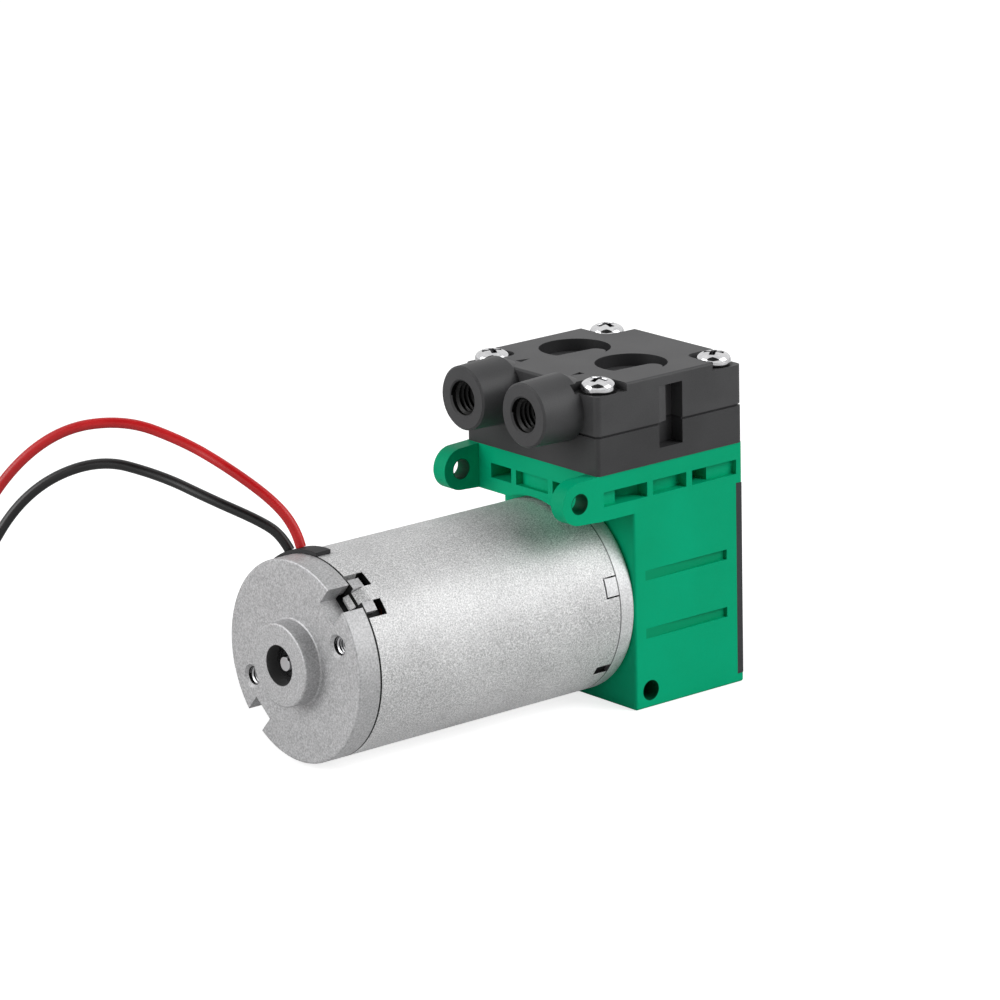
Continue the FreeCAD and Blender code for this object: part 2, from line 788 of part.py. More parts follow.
def make_rotor():
    start = d.shaft_inset - d.boss_height
    tip = d.shaft_chamfer
    shaft = turned("motor_shaft", [
        (start, 0), (start, d.shaft_radius - tip), (start + tip, d.shaft_radius),
        (shaft_end - tip, d.shaft_radius), (shaft_end, d.shaft_radius - tip), (shaft_end, 0)])
    keep(shaft, "motor_shaft")

    spacers = new_body("shaft_spacers")
    runs = [(rear_bearing_x + d.bearing_width, d.commutator_start), (core_end, front_bearing_x)]
    for low, high in runs:
        sleeve = new_sketch(spacers, "YZ_Plane", low)
        circle(sleeve, 0, 0, d.spacer_radius)
        circle(sleeve, 0, 0, shaft_fit)
        pad(spacers, sleeve, high - low)
    keep(spacers, "shaft_spacers")

    core = new_body("armature_core")
    stack = new_sketch(core, "YZ_Plane", d.core_start)
    circle(stack, 0, 0, core_radius)
    circle(stack, 0, 0, shaft_fit)
    pad(core, stack, d.core_length)
    slot = new_sketch(core, "YZ_Plane", d.core_start)
    outline(slot, slot_corners(d.tooth_width, core_radius - d.pole_shoe, d.core_hub, d.slot_opening))
    repeat_round(core, pocket(core, slot, d.core_length, backwards=True), d.pole_count)
    keep(core, "armature_core")

    low = d.core_start - d.winding_reach
    high = core_end + d.winding_reach
    curve = d.winding_round
    windings = turned("windings", [
        (d.core_start, d.winding_inner), (d.core_start, winding_outer),
        (low + curve, winding_outer, curve), (low, winding_outer - curve), (low, d.winding_inner)])
    fill = new_sketch(windings, "YZ_Plane", d.core_start)
    play = d.winding_play
    outline(fill, slot_corners(d.tooth_width + 2 * play, core_radius - d.pole_shoe - play,
                               d.core_hub + play, d.slot_opening / 2))
    repeat_round(windings, pad(windings, fill, d.core_length), d.pole_count)
    front = new_sketch(windings, "XZ_Plane")
    outline(front, [(core_end, d.winding_inner), (high, d.winding_inner), (high, winding_outer - curve, curve),
                    (high - curve, winding_outer), (core_end, winding_outer)])
    revolve(windings, front)
    keep(windings, "windings")

    riser = d.commutator_start + d.commutator_length
    riser_end = riser + d.riser_width
    commutator = turned("commutator", [
        (d.commutator_start, shaft_fit), (d.commutator_start, d.commutator_radius),
        (riser, d.commutator_radius), (riser, d.commutator_riser), (riser_end, d.commutator_riser),
        (riser_end, d.commutator_base), (d.core_start, d.commutator_base), (d.core_start, shaft_fit)])
    gap = new_sketch(commutator, "YZ_Plane", d.commutator_start)
    box_outline(gap, -(d.commutator_slot / 2), d.commutator_slot / 2,
                d.commutator_base, d.commutator_riser + d.cut_margin)
    cut = pocket(commutator, gap, riser_end - d.commutator_start, backwards=True)
    repeat_round(commutator, cut, d.pole_count)
    keep(commutator, "commutator")


def slot_corners(tooth, shoe, hub, opening):
    """The T-shaped slot between two teeth, as y and z with the slot's middle along +Z."""
    half_pitch = 180 / d.pole_count
    length = root(shoe * shoe - tooth * tooth / 4)
    wide_z = length * cosine(half_pitch) + tooth / 2 * sine(half_pitch)
    wide_y = length * sine(half_pitch) - tooth / 2 * cosine(half_pitch)
    narrow_y = (hub * sine(half_pitch) - tooth / 2) / cosine(half_pitch)
    neck_z = root(shoe * shoe - opening * opening / 4)
    top = core_radius + d.cut_margin if opening is d.slot_opening else neck_z + d.winding_play / 2
    return [(-narrow_y, hub), (narrow_y, hub), (wide_y, wide_z, shoe), (opening / 2, neck_z),
            (opening / 2, top), (-(opening / 2), top), (-(opening / 2), neck_z, shoe), (-wide_y, wide_z)]


# Stator: two ferrite arcs, and the brush gear on the rear cap

def make_stator():
    magnets = new_body("magnets")
    arcs = new_sketch(magnets, "YZ_Plane", d.core_start - (d.magnet_length - d.core_length) / 2)
    for middle in (d.magnet_angle, d.magnet_angle + 180):
        sector(arcs, magnet_inner, spigot_radius, middle - d.magnet_half, middle + d.magnet_half)
    pad(magnets, arcs, d.magnet_length)
    keep(magnets, "magnets")

    holder = new_body("brush_holder")
    disc = new_sketch(holder, "YZ_Plane", d.cap_floor)
    circle(disc, 0, 0, notch_floor - d.fit_clearance)
    circle(disc, 0, 0, d.plate_hole)
    pad(holder, disc, d.plate_thickness)
    keep(holder, "brush_holder")

    half_tube = d.brush_size / 2 + d.tube_wall
    tube_middle = d.cap_floor + d.plate_thickness + half_tube
    brush_inner = d.commutator_radius + d.fit_clearance
    tubes = new_body("brush_tubes")
    brushes = new_body("brushes")
    springs = new_body("brush_springs")
    half = d.brush_size / 2
    room = half + d.fit_clearance
    leaf = d.spring_leaf
    wide = half - d.spring_play
    near = brush_end
    far = tube_outer_end
    mid = (near + far) / 2
    for side in (-1, 1):
        tube = new_sketch(tubes, "XZ_Plane", -side * d.tube_inner_end)
        box_outline(tube, tube_middle - half_tube, tube_middle + half_tube, -half_tube, half_tube)
        box_outline(tube, tube_middle - room, tube_middle + room, -room, room)
        pad(tubes, tube, tube_outer_end - d.tube_inner_end, backwards=side > 0)
        brush = new_sketch(brushes, "XZ_Plane", -side * brush_inner)
        box_outline(brush, tube_middle - half, tube_middle + half, -half, half)
        pad(brushes, brush, brush_end - brush_inner, backwards=side > 0)
        spring = new_sketch(springs, "YZ_Plane", tube_middle)
        fold = [(near, -wide), (near, wide), (near + leaf, wide), (mid, -wide + 2 * leaf),
                (far - leaf, wide), (far, wide), (mid + leaf / 2, -wide), (mid - leaf / 2, -wide),
                (near + leaf, wide - 3 * leaf), (near + leaf, -wide)]
        outline(spring, [(side * y, z) for y, z in fold])
        pad(springs, spring, d.brush_size - 4 * d.spring_leaf, both=True)
    keep(tubes, "brush_tubes")
    keep(brushes, "brushes")
    keep(springs, "brush_springs")


# Crankcase housing: moulded, with the motor pilot, the crank cavity behind a screwed
# cover, and on top a deck that overhangs the motor, pocketed round the diaphragm bore

def make_crankcase_housing():
    body = new_body("crankcase_housing")
    side = new_sketch(body, "XZ_Plane")
    outline(side, [(case_rear, -axis_height), (case_front, -axis_height), (case_front, deck_top),
                   (deck_rear, deck_top), (deck_rear, deck_bottom), (case_rear, deck_bottom)])
    pad(body, side, case_width, both=True)
    ease_edges(body, d.case_edge_round, is_outer_case_edge)
    add_lugs(body)

    arch = new_sketch(body, "YZ_Plane", case_rear)
    circle(arch, 0, 0, d.can_radius + d.arch_clearance)
    pocket(body, arch, d.deck_overhang + 3 * d.lug_reach)
    cut_cavity(body)

    bore = new_sketch(body, "XY_Plane", deck_top)
    circle(bore, d.chamber_x, 0, d.bore_radius)
    pocket(body, bore, deck_top - cavity_top)
    seat = new_sketch(body, "XY_Plane", deck_top)
    circle(seat, d.chamber_x, 0, seat_radius)
    pocket(body, seat, d.rim_thickness)
    cut_deck_pockets(body)

    screws = new_sketch(body, "XY_Plane", deck_top)
    for x, y in screw_places:
        circle(screws, x, y, d.screw_radius + d.fit_clearance)
    pocket(body, screws, deck_top - screw_floor + d.screw_length + d.thread_bottom_gap)

    for level in (d.groove_upper, d.groove_lower):
        grooves = new_sketch(body, "XY_Plane", level + d.groove_height / 2)
        start = case_rear + d.groove_start
        end = start + d.groove_length
        for way in (-1, 1):
            outline(grooves, [(start, way * case_side), (end, way * (case_side - d.groove_depth)),
                              (end, way * (case_side + d.cut_margin)),
                              (start, way * (case_side + d.cut_margin))])
        pocket(body, grooves, d.groove_height)
    keep(body, "crankcase_housing")


def is_outer_case_edge(edge):
    """The edges of the case's bottom, and its upright edges at the front and rear."""
    middle = edge.valueAt((edge.FirstParameter + edge.LastParameter) / 2)
    if along(2)(edge):
        return middle.x > case_rear.value - 1e-6 and middle.z < deck_top.value
    return middle.z < 1e-6 - axis_height.value


def add_lugs(body):
    """The two ears behind the deck, with the cross hole for a mounting bolt."""
    centre = deck_rear - d.lug_reach
    radius = d.lug_radius
    inside = deck_rear + d.cut_margin
    for way in (-1, 1):
        ear = new_sketch(body, "XZ_Plane", -way * (case_side - d.lug_thickness))
        outline(ear, [(inside, deck_top), (centre, lug_height + radius, radius),
                      (centre - radius, lug_height, radius), (centre, lug_height - radius),
                      (inside, deck_bottom)])
        pad(body, ear, d.lug_thickness, backwards=way > 0)
    hole = new_sketch(body, "XZ_Plane")
    circle(hole, centre, lug_height, d.lug_hole_radius)
    pocket(body, hole, case_width + d.cut_margin, both=True)


def cut_cavity(body):
    """The crank cavity, open at the front, with its posts, corner tube and rear wall holes."""
    cover_back = case_front - d.cover_thickness
    width = case_side - d.case_side_wall
    low = d.case_floor - axis_height
    curve = d.cavity_round
    recess = new_sketch(body, "YZ_Plane", case_front)
    box_outline(recess, -case_side - d.cut_margin, case_side + d.cut_margin, cover_low, cover_high)
    pocket(body, recess, d.cover_thickness)
    cavity = new_sketch(body, "YZ_Plane", cover_back)
    outline(cavity, [(-width + curve, low), (width - curve, low, curve), (width, low + curve),
                     (width, cavity_top - curve, curve), (width - curve, cavity_top),
                     (-width + curve, cavity_top, curve), (-width, cavity_top - curve),
                     (-width, low + curve, curve)])
    pocket(body, cavity, cover_back - case_rear - d.case_rear_wall)
    posts = new_sketch(body, "YZ_Plane", cover_back)
    for _, y, z in cover_screw_places:
        circle(posts, y, z, d.cover_post_radius)
    pad(body, posts, d.cover_screw_length + d.case_floor, backwards=True)
    drills = new_sketch(body, "YZ_Plane", cover_back)
    for _, y, z in cover_screw_places:
        circle(drills, y, z, d.cover_screw_radius + d.fit_clearance)
    pocket(body, drills, d.cover_screw_length)
    tube_place = (case_rear + d.case_hole_inset, d.case_hole_height - axis_height)
    tube = new_sketch(body, "XZ_Plane")
    circle(tube, *tube_place, d.case_tube_radius)
    pad(body, tube, 2 * width + d.cut_margin, both=True)
    through = new_sketch(body, "XZ_Plane")
    circle(through, *tube_place, d.case_hole_radius)
    pocket(body, through, case_width + d.cut_margin, both=True)
    rear = new_sketch(body, "YZ_Plane", case_rear)
    circle(rear, 0, 0, d.pilot_radius + d.fit_clearance)
    for half_turn in (0, 180):
        circle(rear, *polar(hole_reach, d.front_hole_angle + half_turn), d.screw_hole_radius)
    pocket(body, rear, d.case_rear_wall, backwards=True)


def cut_deck_pockets(body):
    """Pockets all round the deck. The ring round the bore and the screw bosses stay."""
    cut = new_sketch(body, "XY_Plane", pocket_high)
    out = case_side + d.cut_margin
    deep = case_side - d.pocket_depth
    boss = case_side - d.pocket_boss_step
    ring = deck_ring
    ring_end = root(ring * ring - deep * deep)
    for way in (-1, 1):
        rear = deck_rear + d.pocket_edge
        rear_rib = d.chamber_x - d.side_rib_inner
        front_rib = d.chamber_x + d.side_rib_outer
        front = case_front - d.pocket_edge
        arc = way * ring
        outline(cut, [(rear, way * out), (rear_rib - d.pocket_rib, way * out),
                      (rear_rib - d.pocket_rib, way * on_ring(d.side_rib_inner + d.pocket_rib), arc),
                      (d.chamber_x - ring_end, way * deep), (rear + d.pocket_boss, way * deep),
                      (rear + d.pocket_boss, way * boss), (rear, way * boss)])
        outline(cut, [(rear_rib, way * out), (front_rib - d.pocket_rib, way * out),
                      (front_rib - d.pocket_rib, way * on_ring(d.side_rib_outer - d.pocket_rib), arc),
                      (rear_rib, way * on_ring(d.side_rib_inner))])
        outline(cut, [(front_rib, way * out), (front, way * out), (front, way * boss),
                      (front - d.pocket_front_boss, way * boss), (front - d.pocket_front_boss, way * deep),
                      (d.chamber_x + ring_end, way * deep, arc),
                      (front_rib, way * on_ring(d.side_rib_outer))])
        outline(cut, [(deck_rear - d.cut_margin, way * (d.rear_rib + d.pocket_rib)),
                      (d.chamber_x - on_ring(d.rear_rib + d.pocket_rib), way * (d.rear_rib + d.pocket_rib),
                       -arc),
                      (d.chamber_x - on_ring(d.rear_pocket_end), way * d.rear_pocket_end),
                      (deck_rear - d.cut_margin, way * d.rear_pocket_end)])
    outline(cut, [(deck_rear - d.cut_margin, -d.rear_rib), (d.chamber_x - on_ring(d.rear_rib), -d.rear_rib, -ring),
                  (d.chamber_x - on_ring(d.rear_rib), d.rear_rib), (deck_rear - d.cut_margin, d.rear_rib)])
    pocket(body, cut, pocket_high - pocket_low)


def on_ring(offset):
    """How far the ring round the bore reaches, at an offset from its middle."""
    return root(deck_ring * deck_ring - offset * offset)


# Crankcase cover: a flat plate let into the front, held by four countersunk screws

def make_crankcase_cover():
    body = new_body("crankcase_cover")
    back = case_front - d.cover_thickness
    play = d.fit_clearance
    plate = new_sketch(body, "YZ_Plane", back)
    box_outline(plate, -case_side, case_side, cover_low + play, cover_high - play)
    pad(body, plate, d.cover_thickness)
    ease_edges(body, d.cover_round, lambda edge: edge.valueAt(edge.FirstParameter).x
               + edge.valueAt(edge.LastParameter).x > 2 * case_front.value - 1e-6)
    holes = new_sketch(body, "YZ_Plane", case_front)
    for _, y, z in cover_screw_places:
        circle(holes, y, z, d.cover_screw_radius + play)
    pocket(body, holes, d.cover_thickness)
    sink = d.cover_screw_head - d.cover_screw_radius
    ease_edges(body, sink, lambda edge: is_circle(edge, d.cover_screw_radius + play, case_front), "Chamfer")
    keep(body, "crankcase_cover")
    keep_group("cover_screws", [
        (-d.cover_screw_length, 0), (-d.cover_screw_length, d.cover_screw_radius),
        (-sink, d.cover_screw_radius), (0, d.cover_screw_head), (0, 0)], "H_Axis", cover_screw_places)


# Pan-head screws: four through the head, and two that hold the motor from inside the case

def make_machine_screws():
    radius = d.screw_radius
    height = d.screw_head_height
    wide = d.screw_head_radius
    keep_group("head_screws", [
        (0, -d.screw_length), (radius, -d.screw_length), (radius, 0), (wide, 0),
        (wide, height * d.pan_side_share, height), (wide * d.pan_top_share, height), (0, height)],
        "V_Axis", [(x, y, screw_floor) for x, y in screw_places])
    length = d.motor_screw_length
    low_height = height * d.low_head_share
    side_height = height * d.low_side_share
    keep_group("motor_screws", [
        (-length, 0), (-length, radius), (0, radius), (0, d.motor_screw_head),
        (side_height, d.motor_screw_head), (low_height, d.motor_screw_head * d.low_side_share), (low_height, 0)],
        "H_Axis", [(case_rear + d.case_rear_wall,) + polar(hole_reach, d.front_hole_angle + half_turn)
                   for half_turn in (0, 180)])


# Crank drive: eccentric with its counterweight, the connecting rod and the clamp disc

def make_crank_drive():
    eccentric = new_body("eccentric")
    weight_end = crank_rear - d.weight_gap
    hub = d.journal_radius + d.crank_bearing_ring - d.fit_clearance
    chord = d.weight_chord
    half_width = root(d.weight_radius * d.weight_radius - chord * chord)
    weight = new_sketch(eccentric, "YZ_Plane", weight_end - d.weight_thickness)
    outline(weight, [(-half_width, -chord, d.weight_radius), (half_width, -chord),
                     (hub, 0, hub), (0, hub, hub), (-hub, 0)])
    pad(eccentric, weight, d.weight_thickness)
    shoulder = new_sketch(eccentric, "YZ_Plane", weight_end)
    circle(shoulder, 0, d.stroke_half, hub)
    pad(eccentric, shoulder, d.weight_gap)
    journal = new_sketch(eccentric, "YZ_Plane", crank_rear)
    circle(journal, 0, d.stroke_half, d.journal_radius)
    pad(eccentric, journal, d.crank_bearing_width + d.journal_end)
    bore = new_sketch(eccentric, "YZ_Plane", weight_end - d.weight_thickness)
    circle(bore, 0, 0, shaft_fit)
    pocket(eccentric, bore, d.weight_thickness + d.weight_gap + d.crank_bearing_width + d.journal_end,
           backwards=True)
    grub_x = weight_end - d.weight_thickness / 2
    thread = new_sketch(eccentric, "XY_Plane")
    circle(thread, grub_x, 0, d.grub_radius + d.fit_clearance / 2)
    pocket(eccentric, thread, d.weight_radius + d.cut_margin)
    keep(eccentric, "eccentric")

    grub = new_body("grub_screw")
    top = -(shaft_fit + d.fit_clearance)
    rod = new_sketch(grub, "XY_Plane", top)
    circle(rod, grub_x, 0, d.grub_radius)
    pad(grub, rod, d.grub_length, backwards=True)
    socket = new_sketch(grub, "XY_Plane", top - d.grub_length)
    key = d.grub_radius * d.grub_key_share
    outline(socket, [(grub_x + key * cosine(60 * step), key * sine(60 * step)) for step in range(6)])
    pocket(grub, socket, d.grub_length / 3, backwards=True)
    keep(grub, "grub_screw")

    rod_body = new_body("connecting_rod")
    rear = d.chamber_x - d.rod_width / 2
    ring_outer = d.crank_bearing_radius + d.rod_ring_wall
    disc_low = rod_top_now - d.rod_disc_thickness
    ring = new_sketch(rod_body, "YZ_Plane", rear)
    circle(ring, 0, d.stroke_half, ring_outer)
    pad(rod_body, ring, d.rod_width)
    shank = new_sketch(rod_body, "YZ_Plane", rear)
    foot = d.stroke_half + ring_outer - d.rod_ring_wall / 2
    outline(shank, [(-d.rod_foot, foot), (d.rod_foot, foot), (d.rod_shank / 2, foot + d.rod_ring_wall),
                    (d.rod_shank / 2, disc_low), (-(d.rod_shank / 2), disc_low),
                    (-(d.rod_shank / 2), foot + d.rod_ring_wall)])
    pad(rod_body, shank, d.rod_width)
    disc = new_sketch(rod_body, "XY_Plane", disc_low)
    circle(disc, d.chamber_x, 0, d.rod_disc_radius)
    pad(rod_body, disc, d.rod_disc_thickness)
    eye = new_sketch(rod_body, "YZ_Plane", rear)
    circle(eye, 0, d.stroke_half, d.crank_bearing_radius + d.fit_clearance)
    pocket(rod_body, eye, d.rod_width, backwards=True)
    tapped = new_sketch(rod_body, "XY_Plane", rod_top_now)
    circle(tapped, d.chamber_x, 0, d.clamp_screw_radius + d.fit_clearance)
    pocket(rod_body, tapped, d.clamp_screw_length)
    keep(rod_body, "connecting_rod")

    clamp_low = rod_top_now + d.hub_thickness
    sink = d.clamp_screw_head - d.clamp_screw_radius
    hole = d.clamp_screw_radius + d.fit_clearance
    clamp = new_body("clamp_disc")
    profile = new_sketch(clamp, "XZ_Plane")
    bevel = d.clamp_thickness / 3
    outline(profile, [(hole, 0), (d.clamp_radius, 0), (d.clamp_radius, d.clamp_thickness - bevel),
                      (d.clamp_radius - bevel, d.clamp_thickness), (hole + sink, d.clamp_thickness),
                      (hole, d.clamp_thickness - sink * d.clamp_sink_share)])
    revolve(clamp, profile, "V_Axis")
    keep(clamp, "clamp_disc", x=d.chamber_x, z=clamp_low)
    screw = new_body("clamp_screw")
    profile = new_sketch(screw, "XZ_Plane")
    outline(profile, [(0, -d.clamp_screw_length), (d.clamp_screw_radius, -d.clamp_screw_length),
                      (d.clamp_screw_radius, -sink * d.clamp_sink_share), (d.clamp_screw_head, 0), (0, 0)])
    revolve(screw, profile, "V_Axis")
    keep(screw, "clamp_screw", x=d.chamber_x, z=clamp_low + d.clamp_thickness)


# Diaphragm: moulded rubber, its rim clamped between the deck and the valve body

def make_diaphragm():
    body = new_body("diaphragm")
    rim_low = deck_top - d.rim_thickness
    hub_high = rod_top_now + d.hub_thickness
    hub_edge = d.clamp_radius + d.hub_margin
    sketch = new_sketch(body, "XZ_Plane")
    hole = d.clamp_screw_radius + d.fit_clearance
    outline(sketch, [(hole, rod_top_now), (hub_edge, rod_top_now, d.convolution + d.rim_thickness),
                     (d.rim_inner, rim_low), (seat_radius - d.fit_clearance, rim_low),
                     (seat_radius - d.fit_clearance, deck_top),
                     (d.rim_inner + d.hub_margin, deck_top, -d.convolution),
                     (hub_edge + d.hub_margin / 2, hub_high), (hole, hub_high)])
    revolve(body, sketch, "V_Axis")
    keep(body, "diaphragm", x=d.chamber_x)


# Head: valve body, gasket and head cover, clamped together by the four long screws

def rounded_block(body, x_low, x_high, side, z_low, z_high, corner):
    block = new_sketch(body, "XY_Plane", z_low)
    box_outline(block, x_low, x_high, -side, side)
    pad(body, block, z_high - z_low)
    ease_edges(body, corner, along(2))


def cut_side_slots(body, top, depth):
    """The upright slot in each side of the head."""
    slots = new_sketch(body, "XY_Plane", top)
    rear = slot_front - d.slot_width - d.slot_ramp
    for way in (-1, 1):
        ends = sorted((way * (head_side - d.slot_depth), way * (head_side + d.cut_margin)),
                      key=lambda size: size.value)
        box_outline(slots, rear, slot_front, ends[0], ends[1])
    pocket(body, slots, depth)


def cut_ramped_slots(body, top, depth):
    """The narrower slot of the upper block, with a sloped strip behind it."""
    slots = new_sketch(body, "XY_Plane", top)
    rear = slot_front - d.slot_width
    outside = head_side + d.cut_margin
    for way in (-1, 1):
        outline(slots, [(rear - d.slot_ramp, way * head_side), (rear, way * (head_side - d.slot_ramp_depth)),
                        (rear, way * (head_side - d.slot_depth)), (slot_front, way * (head_side - d.slot_depth)),
                        (slot_front, way * outside), (rear - d.slot_ramp, way * outside)])
    pocket(body, slots, depth)


def drill_screw_holes(body, top, depth):
    holes = new_sketch(body, "XY_Plane", top)
    for x, y in screw_places:
        circle(holes, x, y, d.screw_hole_radius)
    pocket(body, holes, depth)


def valve_window(sketch, y):
    """The space round a valve flap."""
    half_length = d.flap_length / 2 + d.flap_room
    half_width = d.flap_width / 2 + d.flap_room
    box_outline(sketch, d.chamber_x - half_length, d.chamber_x + half_length, y - half_width, y + half_width)


def make_valve_body():
    body = new_body("valve_body")
    rounded_block(body, head_rear + d.block_inset, head_front - d.block_inset,
                  head_side - d.block_inset, deck_top, block_top, d.block_corner)
    chamber = new_sketch(body, "XY_Plane", deck_top)
    circle(chamber, d.chamber_x, 0, d.chamber_radius)
    pocket(body, chamber, d.chamber_height, backwards=True)
    recess = new_sketch(body, "XY_Plane", chamber_roof)
    valve_window(recess, d.valve_offset)
    pocket(body, recess, d.flap_recess, backwards=True)
    ways = new_sketch(body, "XY_Plane", block_top)
    circle(ways, d.chamber_x, d.valve_offset, d.valve_hole)
    circle(ways, d.chamber_x, -d.valve_offset, d.valve_hole)
    pocket(body, ways, block_top - chamber_roof)
    drill_screw_holes(body, block_top, d.block_height)
    cut_side_slots(body, block_top, d.block_height - d.slot_bottom_gap)
    keep(body, "valve_body")


def make_valve_gasket():
    body = new_body("valve_gasket")
    inset = d.gasket_inset
    rounded_block(body, head_rear + inset, head_front - inset, head_side - inset, block_top, cover_seat,
                  d.block_corner)
    windows = new_sketch(body, "XY_Plane", cover_seat)
    circle(windows, d.chamber_x, d.valve_offset, d.valve_hole)
    valve_window(windows, -d.valve_offset)
    pocket(body, windows, d.gasket_thickness)
    drill_screw_holes(body, cover_seat, d.gasket_thickness)
    cut_side_slots(body, cover_seat, d.gasket_thickness)
    keep(body, "valve_gasket")


def make_flap(label, y, low):
    body = new_body(label)
    half = d.flap_length / 2
    flap = new_sketch(body, "XY_Plane", low)
    box_outline(flap, d.chamber_x - half, d.chamber_x + half, y - d.flap_width / 2, y + d.flap_width / 2)
    pad(body, flap, d.flap_thickness)
    ease_edges(body, d.flap_width / 3, lambda edge: along(2)(edge)
               and edge.valueAt(edge.FirstParameter).x > d.chamber_x.value)
    keep(body, label)


def make_head_cover():
    body = new_body("head_cover")
    rounded_block(body, head_rear, head_front, head_side, cover_seat, head_top, d.head_corner)
    ease_edges(body, d.head_edge, lambda edge: edge.BoundBox.ZMin > head_top.value - 1e-6)
    for way in (-1, 1):
        port = new_sketch(body, "XZ_Plane", -way * d.port_offset, up=port_height)
        fade = head_rear + d.port_fade
        outline(port, [(port_face, 0), (port_face, d.port_radius - d.port_chamfer),
                       (port_face + d.port_chamfer, d.port_radius), (head_rear, d.port_root_radius),
                       (fade, head_top - port_height - d.fit_clearance), (fade, 0)])
        revolve(body, port)
    trim = new_sketch(body, "XY_Plane", cover_seat)
    box_outline(trim, head_rear, head_rear + d.port_fade + d.cut_margin, -head_side, head_side)
    pocket(body, trim, d.port_root_radius)
    bores = new_sketch(body, "YZ_Plane", port_face)
    drills = new_sketch(body, "YZ_Plane", port_face)
    for way in (-1, 1):
        circle(bores, way * d.port_offset, port_height, d.port_bore)
        circle(drills, way * d.port_offset, port_height, d.port_drill)
    pocket(body, bores, d.port_bore_depth, backwards=True)
    pocket(body, drills, d.chamber_x - d.plenum_length / 2 + d.cut_margin - port_face, backwards=True)
    ease_edges(body, d.port_chamfer, lambda edge: is_circle(edge, d.port_bore, port_face), "Chamfer")

    plenums = new_sketch(body, "XY_Plane", cover_seat)
    half = d.plenum_length / 2
    for way in (-1, 1):
        ends = sorted((way * d.plenum_wall, way * plenum_side), key=lambda size: size.value)
        box_outline(plenums, d.chamber_x - half, d.chamber_x + half, ends[0], ends[1])
    pocket(body, plenums, plenum_roof - cover_seat, backwards=True)

    corners = new_sketch(body, "XY_Plane", head_top)
    curve = d.screw_pocket_round
    for edge_x, out_x, width in ((head_rear, -1, d.screw_pocket_y), (head_front, 1, d.front_pocket_y)):
        for out_y in (-1, 1):
            x = edge_x - out_x * d.screw_pocket_x
            y = out_y * (head_side - width)
            far_x = edge_x + out_x * d.cut_margin
            far_y = out_y * (head_side + d.cut_margin)
            outline(corners, [(far_x, y), (x + out_x * curve, y, -out_x * out_y * curve),
                              (x, y + out_y * curve), (x, far_y), (far_x, far_y)])
    pocket(body, corners, d.screw_floor_drop)
    drill_screw_holes(body, screw_floor, screw_floor - cover_seat)
    cut_ramped_slots(body, head_top - d.slot_top_gap, head_top - d.slot_top_gap - cover_seat)

    recesses = new_sketch(body, "XY_Plane", head_top)
    for way in (-1, 1):
        cut_top_recess(recesses, way * d.recess_offset)
    pocket(body, recesses, d.recess_depth)

    arrows = new_sketch(body, "XY_Plane", head_top)
    middle = head_rear + d.arrow_inset
    for way in (-1, 1):
        reach = way * d.arrow_length / 2
        side = way * d.arrow_offset
        outline(arrows, [(middle + reach, side), (middle - reach, side + way * d.arrow_width / 2),
                         (middle - reach, side - way * d.arrow_width / 2)])
    pocket(body, arrows, d.arrow_depth)
    keep(body, "head_cover")


def cut_top_recess(sketch, y):
    """A round recess, filled on its -Y side by a tongue with a rounded nose."""
    centre_x = d.chamber_x + d.recess_shift
    radius = d.recess_radius

    def rim(angle):
        return centre_x + radius * cosine(angle), y + radius * sine(angle)

    start = rim(d.recess_fill_start)
    inner = (start[0] + d.recess_chord * cosine(d.recess_chord_turn),
             start[1] - d.recess_chord * sine(d.recess_chord_turn))
    end_angle = d.recess_fill_end
    third = (d.recess_fill_start - end_angle) / 3
    outline(sketch, [start, inner + (-d.recess_nose,), rim(end_angle) + (radius,),
                     rim(end_angle + third) + (radius,), rim(end_angle + 2 * third) + (radius,)])


# Leads: two single wires with tinned ends. Their routes are in the pump's own frame

RED_ROUTE = [(-35.1, 5.1, 35.95), (-35.6, 6.2, 40.2), (-38.6, 9.4, 44.6), (-41.7, 15.4, 48.5),
             (-44.9, 23.6, 52.2), (-51.6, 31.0, 56.2), (-60.6, 38.6, 54.6), (-69.6, 44.0, 45.6),
             (-76.2, 47.0, 31.0), (-80.4, 49.4, 14.4), (-88.2, 54.4, 1.9), (-97.0, 63.0, 1.45),
             (-99.0, 82.6, 1.45)]
BLACK_ROUTE = [(-35.1, 8.2, 34.7), (-36.0, 9.6, 38.2), (-39.4, 12.6, 40.5), (-43.2, 19.0, 43.2),
               (-46.6, 28.2, 46.0), (-53.4, 37.2, 48.6), (-62.6, 45.6, 42.8), (-69.4, 50.6, 29.6),
               (-74.4, 54.4, 13.6), (-82.4, 60.4, 1.9), (-90.0, 70.0, 1.45), (-92.0, 84.0, 1.45),
               (-86.0, 93.0, 1.45), (-76.0, 95.0, 1.45)]


def lead_path(route):
    """Straight runs joined by tangent arcs, each nearly as large as its two runs allow."""
    bend_share = 0.45
    points = [Vector(*point) for point in route]
    edges = []
    radii = []
    start = points[0]
    for before, corner, after in zip(points, points[1:], points[2:]):
        into = (corner - before).normalize()
        out = (after - corner).normalize()
        shorter = min((corner - before).Length, (after - corner).Length)
        trim = bend_share * shorter
        half_turn = into.getAngle(out) / 2
        radii.append(trim / math.tan(half_turn))
        first = corner - into * trim
        last = corner + out * trim
        bulge = (out - into).normalize()
        middle = corner + bulge * (radii[-1] / math.cos(half_turn) - radii[-1])
        edges.append(Part.LineSegment(start, first).toShape())
        edges.append(Part.Arc(first, middle, last).toShape())
        start = last
    edges.append(Part.LineSegment(start, points[-1]).toShape())
    return Part.Wire(edges), radii


